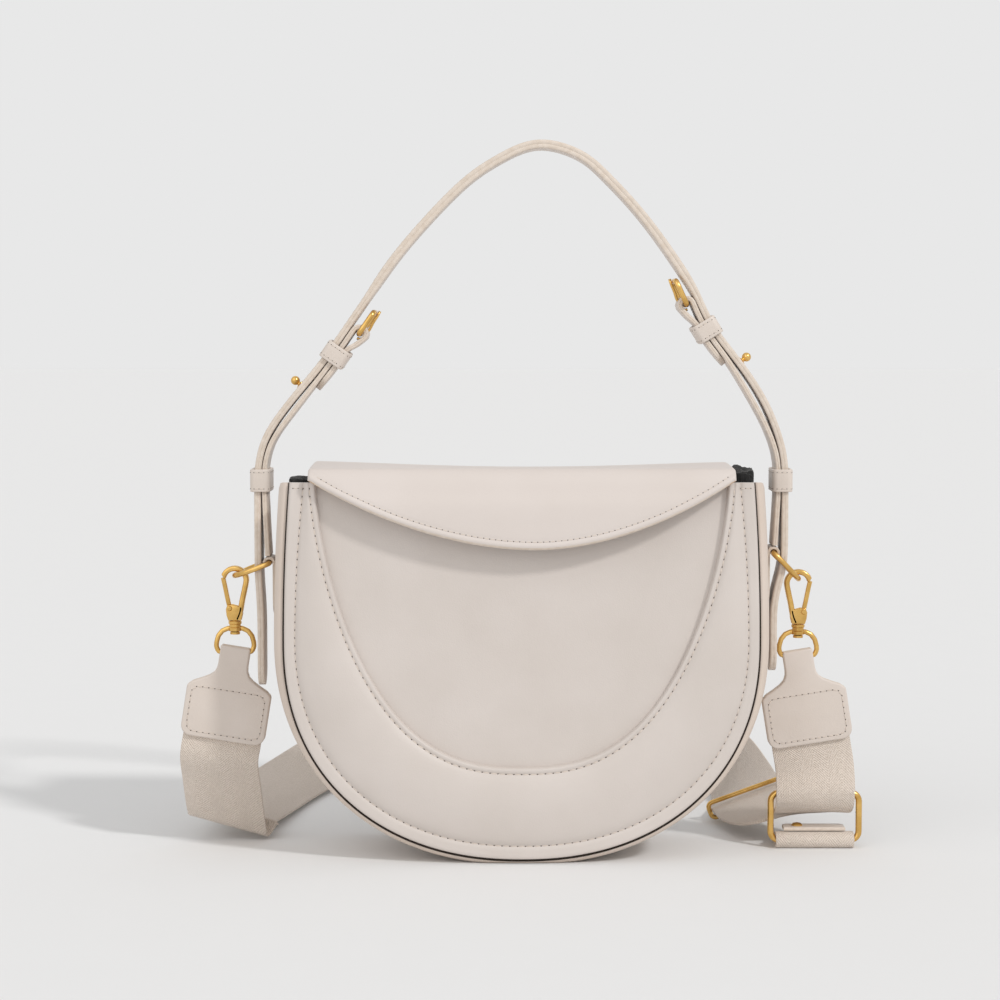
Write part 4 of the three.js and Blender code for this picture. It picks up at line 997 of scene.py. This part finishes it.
def buildHandle(settings):
    s = settings
    left, right = smoothLine(tailLine("left")[::-1], 10), smoothLine(tailLine("right"), 10)
    over = [p for p in routeLine if p.z > s["start"] + 0.5]
    line = eased(evenly(left + over + right, step=1.0), 40)
    bm = strapPiece(line, s["half"], s["wide"], thickAt=fullerAt)
    strap = addPiece("handleStrap", bm, [strapLeather, strapEdge], None,
                     ["handle_strap", "strap_tail_left", "strap_tail_right"])
    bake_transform(strap)
    frames = framesAlong(evenly(line, step=2.0), alongY)[4:-4]
    normals = [place.to_3x3() @ Vector((-1, 0, 0)) for place in frames]
    rows = []
    for y in (-s["stitchPlace"], s["stitchPlace"]):
        row = []
        for place in frames:
            out = s["half"] * fullerAt(place.translation) + s["stitchLift"]
            row.append(place @ Vector((-out, y, 0)))

        def outward(point, row=row):
            return normals[min(range(len(row)), key=lambda i: (row[i] - point).length_squared)]
        rows.append((row, outward))
    stitches = addStitches("handleStitches", rows)
    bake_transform(stitches)


def sideStrapLine(side):
    # up from the D-ring inside the handle strap, round the buckle's bar and down to its folded tip
    s, sign = handleShape, sideSigns[side]
    ring, inner = s["ring"][side], s["tailX"] - s["innerPly"]
    foot = ((121.5, ring + 3.5), (122.0, ring + 12), (122.9, 172), (inner, 178), (inner, s["start"] + 0.5))
    low = (keeperRuns[side] if sign < 0 else routeRuns[-1] - keeperRuns[side]) - 2.0
    up = []
    for i in range(51):
        distance = -low + (low + s["reach"]) * i / 50
        share = min(1.0, max(0.0, (distance + low - 4.0) / (low - 12.0)))
        apart = s["apart"][side] * math.sin(math.pi * share) ** 2
        up.append(besideHandle(side, distance, s["innerPly"] + apart)[0])
    turn, folded = s["barInward"] + s["barTurn"], s["foldedPly"]
    bend = [(s["reach"] + s["barTurn"] * math.sin(a), s["barInward"] - s["barTurn"] * math.cos(a))
            for a in (math.pi * i / 12 for i in range(1, 12))]
    back = ((s["reach"], turn), (s["keeperLength"], (turn + folded) / 2), (5.0, folded), (-5.0, folded),
            (-s["foldTip"], folded))
    bend, back = ([besideHandle(side, *place)[0] for place in places] for places in (bend, back))
    rising = smoothLine([Vector((sign * x, 0, z)) for x, z in foot], 6)
    rising += [p for p in up if p.z > s["start"] + 1.5]
    return eased(evenly(rising, step=1.0), 30) + bend + smoothLine(back, 6)


keeperShape = {"wall": 1.4, "halfWide": 10.2, "corner": 2.0, "rim": 0.5, "stitchInset": 1.5,
               "stitchLift": 0.04, "stitchPitch": 2.4, "room": 1.2, "upperHalf": 4.5, "lowerHalf": 5.4,
               "lowerPlace": 179.2}


def sleeve(middle, along, halfIn, halfLength):
    # a leather loop round a stack of straps, and its two sewn rows
    s, halfWide = keeperShape, keeperShape["halfWide"]
    inward = Vector((along.z, 0, -along.x))
    path = [middle + inward * x + alongY * y for x, y in boxSection(halfIn, halfWide, s["corner"], 5)]
    frames = framesAlong(path, along, looped=True)
    band = sweep(boxSection(s["wall"] / 2, halfLength, s["rim"]), frames, looped=True)
    out = s["wall"] / 2 + s["stitchLift"]
    rim = boxSection(halfIn + out, halfWide + out, s["corner"] + 0.5, 5)

    def outward(point):
        gap = point - middle
        across, deep = gap.dot(alongY) / halfWide, gap.dot(inward) / halfIn
        if abs(across) > abs(deep):
            return alongY * math.copysign(1, across)
        return inward * math.copysign(1, deep)
    rows = []
    for edge in (s["stitchInset"] - halfLength, halfLength - s["stitchInset"]):
        row = [middle + inward * x + alongY * y + along * edge for x, y in rim + rim[:1]]
        rows.append((row, outward, s["stitchPitch"]))
    return band, rows


def wireLoop(points, radius, across, count=14):
    path = evenly(points + points[:1], step=1.0)[:-1]
    return sweep(circleSection(radius, count), framesAlong(path, across, looped=True), looped=True)


def buildSideStrap(side):
    s = handleShape
    strap = strapPiece(sideStrapLine(side), s["plyHalf"], s["wide"], first=False)
    piece = addPiece(side + "SideStrap", strap, [strapLeather, strapEdge], None,
                     ["side_strap_upper_" + side, "side_strap_lower_" + side])
    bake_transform(piece)


def buildKeepers(side, settings):
    s, h = settings, handleShape
    middle, along = besideHandle(side, 0.0, (h["foldedPly"] + h["plyHalf"] - h["half"]) / 2)
    upper = (h["foldedPly"] + h["plyHalf"] + h["half"]) / 2 + s["room"]
    outer, inner = h["tailX"] + h["half"], h["tailX"] - h["innerPly"] - h["plyHalf"]
    lower = (outer - inner) / 2 + s["room"]
    foot = Vector((sideSigns[side] * (outer + inner) / 2, 0, s["lowerPlace"]))
    for name, body, node, place in (
            ("Upper", "handle_body", "upper_keeper_", (middle, along, upper, s["upperHalf"])),
            ("Lower", "bag_body", "lower_keeper_", (foot, Vector((0, 0, 1)), lower, s["lowerHalf"]))):
        band, rows = sleeve(*place)
        addPiece(side + name + "Keeper", band, [strapLeather], body, [node + side])
        addStitches(side + name + "KeeperStitches", rows, body)


ringLoop = {"eyeX": 120.932, "sewnX": 118.5, "length": 25.0, "stops": (0.0, 8.0, 16.0, 23.0), "radius": 2.43,
            "half": 0.7, "wide": 8.6}


def buildRingLoop(side, settings):
    # the leather loop that holds the D-ring to the bag's side
    s, sign, ring = settings, sideSigns[side], handleShape["ring"][side]
    line = [Vector((sign * s["sewnX"], 0, ring - s["length"] + d)) for d in s["stops"]]
    for i in range(14):
        angle = math.pi * i / 10
        x, z = s["eyeX"] - s["radius"] * math.cos(angle), s["radius"] * math.sin(angle)
        line.append(Vector((sign * x, 0, ring + z)))
    loop = strapPiece(smoothLine(line, 4), s["half"], s["wide"], last=False)
    addPiece(side + "RingLoop", loop, [strapLeather, strapEdge], "bag_body")


buckleShape = {"half": (6.2, 11.1), "corner": 2.6, "wire": 1.3, "curl": 2.4, "prong": (0.65, 1.55, 0.5),
               "tip": 1.6, "point": ((3.0, 2.35), (8.0, 2.2), (12.4, 2.05), (14.4, 1.8))}


def buildBuckle(side, settings):
    s = settings
    bar, along = besideHandle(side, handleShape["reach"], handleShape["barInward"])
    towards, inward = along * -sideSigns[side], Vector((along.z, 0, -along.x))
    halfIn, halfWide = s["half"]
    corners = boxSection(halfIn, halfWide, s["corner"], 5)
    line = [bar + towards * (halfIn + x) + alongY * y for x, y in corners]
    addPiece(side + "BuckleFrame", wireLoop(line, s["wire"], inward), [goldMetal], "handle_body",
             ["buckle_frame_" + side])
    angles = [math.pi * (0.5 - i / 10) for i in range(5, -7, -1)]
    line = [bar + towards * (-s["curl"] * math.cos(a)) + inward * (s["curl"] * math.sin(a)) for a in angles]
    line += [bar + towards * out + inward * high for out, high in s["point"]]
    line = evenly(smoothLine(line, 4), step=0.6)
    widths = roundedTips(runs(line), s["tip"], first=False)
    prong = sweep(boxSection(*s["prong"]), framesAlong(line, alongY), widths=widths)
    addPiece(side + "BuckleProng", prong, [goldMetal], "prong_" + side, ["buckle_prong_" + side])


studShape = {"place": 22.0, "sunk": 0.1, "ball": 2.2, "ballHeight": 3.2, "neckAngle": 0.5,
             "foot": ((0.0, -0.2), (2.3, -0.2), (2.3, 0.25), (1.9, 0.55), (1.1, 0.7), (1.0, 1.4))}


def buildStud(side, settings):
    s, ball, start = settings, settings["ball"], settings["neckAngle"]
    foot, along = besideHandle(side, -s["place"], -handleShape["half"] - s["sunk"])
    angles = [start + (math.pi - start) * i / 10 for i in range(10)]
    head = [(ball * math.sin(a), s["ballHeight"] - ball * math.cos(a)) for a in angles]
    profile = [*s["foot"], *head, (0.0, s["ballHeight"] + ball)]
    stud = spun(profile, foot, Vector((-along.z, 0, along.x)))
    addPiece(side + "Stud", stud, [goldMetal], "handle_body", ["stud_" + side])


buildHandle(handleShape)
for side in sideSigns:
    buildSideStrap(side)
    buildKeepers(side, keeperShape)
    buildRingLoop(side, ringLoop)
    buildBuckle(side, buckleShape)
    buildStud(side, studShape)
print("handle built")


# hardware of the shoulder strap: D-ring, snap hook, swivel ring and leather tab at each side
ringShape = {"drop": {"left": 21.0, "right": 46.0}, "wire": 1.3, "halfWide": 11.1, "bowStart": 5.0,
             "bow": 13.5, "corner": ((0.0, 9.4), (0.6, 10.6), (2.0, 11.1), (5.0, 11.1))}


def buildRing(side, settings):
    s, sign = settings, sideSigns[side]
    drop = math.radians(s["drop"][side])
    out = Vector((sign * math.cos(drop), 0, -math.sin(drop)))
    eye = Vector((sign * ringLoop["eyeX"], 0, handleShape["ring"][side]))
    far = [(u, -v) for u, v in s["corner"][::-1]]
    flat = [far[-1], *s["corner"]]
    for i in range(1, 20):
        angle = math.pi * i / 20
        flat.append((s["bowStart"] + s["bow"] * math.sin(angle), s["halfWide"] * math.cos(angle)))
    line = [eye + out * u + alongY * v for u, v in flat + far[:-1]]
    ring = wireLoop(line, s["wire"], out.cross(alongY))
    addPiece(side + "DRing", ring, [goldMetal], "ring_" + side, ["d_ring_" + side])


hookShape = {"place": {"left": (-138.203, 130.67), "right": (133.783, 128.992)}, "rim": 0.3,
             "neck": ((-1.2, -19.0), (-2.6, -15.5), (-3.6, -10.0), (-4.9, -4.0)), "bow": 5.6,
             "nose": (5.6, 1.7), "arm": (1.3, 2.3, 0.95),
             "cheek": ((-3.1, -19.5), (3.1, -19.5), (3.9, -17.0), (4.2, -14.0), (3.4, -12.1), (1.2, -11.9),
                       (-1.4, -12.6), (-3.9, -13.0), (-3.8, -16.5)),
             "cheekFaces": (-2.3, 1.4), "cheekWall": 0.9,
             "heel": ((-2.9, -19.4), (2.9, -19.4), (2.5, -16.4), (-1.0, -13.4), (-3.5, -13.5)),
             "heelHalf": 1.8,
             "shank": ((0.0, -26.3), (2.4, -26.3), (2.4, -25.2), (1.6, -24.9), (1.6, -19.0), (0.0, -19.0)),
             "gate": ((2.5, -13.6), (3.6, -8.6), (4.7, -3.0), (5.6, 1.1)), "gateSection": (1.05, 1.2, 0.45),
             "gateWaist": (0.25, 2.0), "boss": ((0.0, -1.15), (1.55, -1.15), (1.55, 1.15), (0.0, 1.15)),
             "rivet": ((0.0, 2.0), (1.35, 2.0), (1.35, 2.55), (1.0, 2.95), (0.0, 3.1))}


def buildHook(side, settings):
    s, sign = settings, sideSigns[side]
    x, z = s["place"][side]
    hub = Vector((x, 0, z))

    def spots(places, y=0.0):
        return [hub + Vector((sign * u, y, v)) for u, v in places]
    angles = [math.pi * i / 12 for i in range(12)]
    bow = [(-s["bow"] * math.cos(a), s["bow"] * math.sin(a)) for a in angles]
    line = evenly(smoothLine(spots([*s["neck"], *bow, s["nose"]]), 5), step=0.7)
    arm = sweep(boxSection(*s["arm"]), framesAlong(line, alongY))
    cheeks = [plate(spots(s["cheek"], y), alongY * s["cheekWall"], s["rim"]) for y in s["cheekFaces"]]
    heel = plate(spots(s["heel"], -s["heelHalf"]), alongY * 2 * s["heelHalf"], s["rim"])
    shank = spun(s["shank"], hub, Vector((0, 0, 1)))
    addPiece(side + "HookBody", together(arm, *cheeks, heel, shank), [goldMetal], "hook_" + side,
             ["hook_body_" + side])

    pivot = spots(s["gate"])[0]
    line = evenly(smoothLine(spots(s["gate"]), 5), step=0.7)
    waist, length = s["gateWaist"]
    widths = [1.0 - waist * math.exp(-(run / length) ** 2) for run in runs(line)]
    gate = sweep(boxSection(*s["gateSection"]), framesAlong(line, alongY), widths=widths)
    gate = together(gate, spun(s["boss"], pivot, alongY))
    addPiece(side + "HookGate", gate, [goldMetal], "gate_" + side, ["hook_gate_" + side])
    heads = [spun(s["rivet"], pivot, alongY * way, 16) for way in (-1, 1)]
    addPiece(side + "GateRivet", together(*heads), [goldMetal], "hook_" + side, ["gate_rivet_" + side])


swivelShape = {"barDrop": 35.3, "wire": 1.2, "top": (0.0, 12.0),
               "half": ((6.1, 0.0), (8.2, 0.8), (9.1, 3.0), (9.0, 5.0), (8.1, 8.2), (6.2, 10.6), (3.6, 11.8)),
               "collar": ((2.0, 10.6), (3.0, 10.6), (3.2, 11.0), (3.2, 12.2), (2.8, 12.5), (2.8, 13.9),
                          (3.2, 14.2), (3.2, 15.2), (2.9, 15.5), (2.0, 15.5), (2.0, 10.6))}


def strapBar(side):
    # the middle of the swivel ring's lower side, which the tab hangs on
    x, z = hookShape["place"][side]
    return Vector((x, 0, z - swivelShape["barDrop"]))


def buildSwivelRing(side, settings):
    s, bar = settings, strapBar(side)
    far = [(-u, v) for u, v in s["half"][::-1]]
    flat = [far[-1], *s["half"], s["top"], *far[:-1]]
    ring = wireLoop([bar + Vector((u, 0, v)) for u, v in flat], s["wire"], alongY)
    collar = spun(s["collar"], bar, Vector((0, 0, 1)))
    addPiece(side + "SwivelRing", together(ring, collar), [goldMetal], "bag_body", ["swivel_ring_" + side])


tabShape = {"tilt": 9.0, "half": 3.0, "rim": 0.9,
            "neck": ((0.0, 3.1), (6.6, 3.1), (7.2, 2.4), (7.2, -6.0), (7.5, -8.4), (8.6, -10.7),
                     (10.8, -12.6), (14.4, -14.6), (17.6, -16.1), (18.4, -16.6)),
            "shoulder": (18.3, -19.4, 2.2), "corner": (15.5, -38.0, 5.0),
            "stitchBox": (17.9, 11.0, 3.4, 5), "stitchMiddle": -29.5, "stitchFace": 3.08, "stitchPitch": 3.0}


def buildTab(side, settings):
    s = settings
    turn = Matrix.Rotation(math.radians(-sideSigns[side] * s["tilt"]), 4, "Y")
    place = Matrix.Translation(strapBar(side)) @ turn
    half = list(s["neck"])
    for (u, v, radius), start, steps in ((s["shoulder"], 0.5, range(1, 5)), (s["corner"], 0.0, range(7))):
        for i in steps:
            angle = math.pi / 2 * (i / steps[-1] - 2 * start)
            half.append((u + radius * math.cos(angle), v - radius * math.sin(angle)))
    outline = [Vector((u, -s["half"], v)) for u, v in half + [(-u, v) for u, v in half[:0:-1]]]
    tab = plate(outline, alongY * 2 * s["half"], s["rim"], 4)
    paintFaces(tab, lambda face: abs(face.normal.y) < 0.25, 1)
    bmesh.ops.transform(tab, matrix=place, verts=tab.verts)
    addPiece(side + "StrapTab", tab, [tabLeather, strapEdge], "bag_body", ["strap_tab_" + side])
    box = boxSection(*s["stitchBox"])
    rows = []
    for way in (-1, 1):
        row = [place @ Vector((u, way * s["stitchFace"], v + s["stitchMiddle"])) for u, v in box + box[:1]]
        rows.append((row, alongY * way, s["stitchPitch"]))
    addStitches(side + "TabStitches", rows, "bag_body")


for side in sideSigns:
    buildRing(side, ringShape)
    buildHook(side, hookShape)
    buildSwivelRing(side, swivelShape)
    buildTab(side, tabShape)
print("hooks built")


# webbing: one strip from tab to tab, folded at the left, low on the floor and then on its edge behind the bag
webShape = {"half": 0.8, "wide": 19.0, "corner": 0.5, "perSpan": 8, "upright": (0, 0, -1), "eased": 40,
            "widest": 1.25, "leftDrops": (36.0, 43.3, 52.0),
            "hanging": (((-7.6, 6.5, 30), (0.985, 0.02, -0.19)),),
            "fold": {"middle": (-4.8, 21.0, 7.9), "crease": (0.957, 0.06, -0.282), "down": (0.06, 0.42, -0.9),
                     "radius": 4.2, "steps": 6},
            "lying": (((-1.8, 46, 10.0), (0.95, -0.12, -0.28)), ((2.2, 72, 8.4), (0.95, -0.15, -0.26)),
                      ((7.0, 104, 7.8), (0.94, -0.2, -0.28)), ((14.2, 136, 8.2), (0.93, -0.22, -0.3)),
                      ((26.2, 172, 10.6), (0.85, -0.4, -0.35)), ((48.2, 200, 16.6), (0.45, -0.4, -0.8))),
            "floor": ((-52, 217), (0, 226), (62, 214), (98, 182)), "standing": 19.3,
            "leaning": (((-21.8, 140, 17.9), (-0.42, 0, -0.91)), ((-18.3, 100, 13.4), (-0.77, 0, -0.64))),
            "rising": (((-14.8, 46, 11.4), (-0.95, 0.05, -0.3)), ((-5.8, 24, 12.2), (-0.97, 0.1, -0.2)),
                       ((5.2, 11, 15.6), (-0.99, 0.05, -0.1)), ((8.6, 1.2, 19.6), (-1, 0, 0)),
                       ((8.8, -3.2, 27), (-1, 0, -0.06))),
            "rightDrops": (55.0, 43.3, 36.0)}
loopRing = {"place": (-17.4, 66.0, 12.31), "lean": 70.0, "half": (4.0, 20.5), "corner": 2.4, "wire": 1.2}


def besideHook(side, place):
    x, y, z = place
    return Vector((hookShape["place"][side][0] + x, y, z))


def foldedOver(fold, side):
    # the strip's middle round a diagonal fold, with the crease's direction across it
    crease, down = (Vector(fold[name]).normalized() for name in ("crease", "down"))
    slant = down.dot(crease)
    dip = (down - crease * slant).normalized()
    behind = crease.cross(dip)
    centre = besideHook(side, fold["middle"]) - dip * fold["radius"]
    places = []
    for i in range(fold["steps"] + 1):
        angle = math.pi * i / fold["steps"]
        shift = (angle - math.pi / 2) * slant / math.sqrt(1 - slant ** 2)
        turned = dip * math.sin(angle) - behind * math.cos(angle) + crease * shift
        places.append((centre + turned * fold["radius"], crease))
    return places


def webStations(settings):
    # places along the strip's middle, each with its direction across
    s = settings
    tilt, lean = math.radians(tabShape["tilt"]), math.radians(loopRing["lean"])

    def underTab(side, drops):
        sign = sideSigns[side]
        down = Vector((sign * math.sin(tilt), 0, -math.cos(tilt)))
        across = Vector((-sign * math.cos(tilt), 0, -math.sin(tilt)))
        return [(strapBar(side) + down * drop, across) for drop in drops]

    def landing(name, side):
        return [(besideHook(side, place), Vector(across)) for place, across in s[name]]
    left = underTab("left", s["leftDrops"]) + landing("hanging", "left")
    left += foldedOver(s["fold"], "left") + landing("lying", "left")
    floor = [(Vector((x, y, s["standing"])), Vector(s["upright"])) for x, y in s["floor"]]
    ring = (besideHook("right", loopRing["place"]), Vector((-math.sin(lean), 0, -math.cos(lean))))
    right = [*landing("leaning", "right"), ring, *landing("rising", "right")]
    return left + floor + right + underTab("right", s["rightDrops"])


def webSection():
    return boxSection(webShape["half"], webShape["wide"], webShape["corner"], 2)


def buildWebbing(settings):
    s, perSpan = settings, settings["perSpan"]
    line, turns = (smoothLine(list(points), perSpan) for points in zip(*webStations(s)))
    before = len(s["leftDrops"]) + len(s["hanging"]) + s["fold"]["steps"]
    start, folded = perSpan * (before + 1), perSpan * (before + len(s["lying"]))
    end = folded + perSpan * len(s["floor"])
    line, turns = (points[:start] + eased(points[start:end], s["eased"]) + points[end:]
                   for points in (line, turns))
    places = framesAlong(line[:folded], turns[:folded], slanted=True)
    places += framesAlong(line[folded:], turns[folded:])
    widths = [min(s["widest"], 1 / place.col[1].xyz.cross(place.col[2].xyz).length) for place in places]
    strip = sweep(webSection(), places, widths=widths)
    web = addPiece("shoulderWebbing", strip, [creamWebbing], "bag_body", ["webbing"],
                   sharp=50.0)
    length = runs(line)[-1]
    print("webbing length:", round(length), "mm")
    return web, length


slideShape = {"place": (8.8, 0, 15.4), "half": (21.4, 11.6), "corner": 4.2, "wire": 1.55}
loopEnd = {"lead": ((15.0, -1.46), (11.5, -1.4), (9.3, -0.5), (7.2, 1.2), (4.6, 2.7), (2.2, 3.06)),
           "radius": 3.08, "tail": (5.0, 10.0, 15.0), "sewnHalf": 17.0, "sewnPlace": (13.2, -0.62),
           "stitchPitch": 3.0}


def buildSlide(settings):
    s, middle = settings, besideHook("right", settings["place"])
    path = [middle + Vector((x, 0, z)) for x, z in boxSection(*s["half"], s["corner"], 6)]
    slide = wireLoop(path, s["wire"], alongY)
    addPiece("slideBuckle", slide, [goldMetal], "bag_body", ["slide_buckle"])
    return middle - Vector((0, 0, s["half"][1]))


def buildLoopEnd(bar, settings):
    # the short end of webbing sewn round the slide's lower bar
    s, radius = settings, settings["radius"]
    angles = [math.pi * (0.5 + i / 10) for i in range(11)]
    turn = [(radius * math.cos(a), radius * math.sin(a)) for a in angles]
    path = [*s["lead"], *turn, *((y, -radius) for y in s["tail"])]
    loop = sweep(webSection(), framesAlong([bar + Vector((0, y, z)) for y, z in path], Vector((1, 0, 0))))
    addPiece("webbingLoopEnd", loop, [creamWebbing], "bag_body", ["webbing_loop_end"],
             sharp=50.0)
    sewn = [bar + Vector((s["sewnHalf"] * share, *s["sewnPlace"])) for share in (-1, 0, 1)]
    addStitches("loopEndStitches", [(sewn, Vector((0, 0, 1)), s["stitchPitch"])], "bag_body")


endTab = {"lift": 4.25, "leather": 1.9, "rim": 0.5, "rivetPlace": (-8.0, 5.0),
          "outline": ((-15, 0.2), (15, 0.2), (15, 8), (13, 10), (-13, 10), (-15, 8)),
          "rivet": ((0.0, 0.0), (2.6, 0.0), (2.6, 0.5), (1.9, 1.2), (0.0, 1.6))}


def buildEndTab(bar, settings):
    s, upward = settings, Vector((0, 0, 1))
    top = bar + upward * s["lift"]
    tab = plate([top + Vector((u, v, 0)) for u, v in s["outline"]], upward * s["leather"], s["rim"])
    paintFaces(tab, lambda face: abs(face.normal.z) < 0.3, 1)
    addPiece("strapEndTab", tab, [tabLeather, strapEdge], "bag_body", ["strap_end_tab"])
    rivet = spun(s["rivet"], top + Vector((*s["rivetPlace"], s["leather"])), upward)
    addPiece("endRivet", rivet, [goldMetal], "bag_body", ["end_rivet"])


def buildLoopRing(settings):
    s, middle = settings, besideHook("right", settings["place"])
    lean = Matrix.Rotation(math.radians(s["lean"]), 3, "Y")
    line = [middle + lean @ Vector((x, 0, z)) for x, z in boxSection(*s["half"], s["corner"], 5)]
    ring = wireLoop(line, s["wire"], alongY)
    addPiece("loopRing", ring, [goldMetal], "bag_body", ["loop_ring"])


web, webLength = buildWebbing(webShape)
slideBar = buildSlide(slideShape)
buildLoopEnd(slideBar, loopEnd)
buildEndTab(slideBar, endTab)
buildLoopRing(loopRing)
print("webbing built")

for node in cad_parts.values():
    if not node.hide_render and node.name not in ("front_magnet", "flap_magnet", "zip_slider", "zip_pull"):
        print("still showing its solid:", node.name)
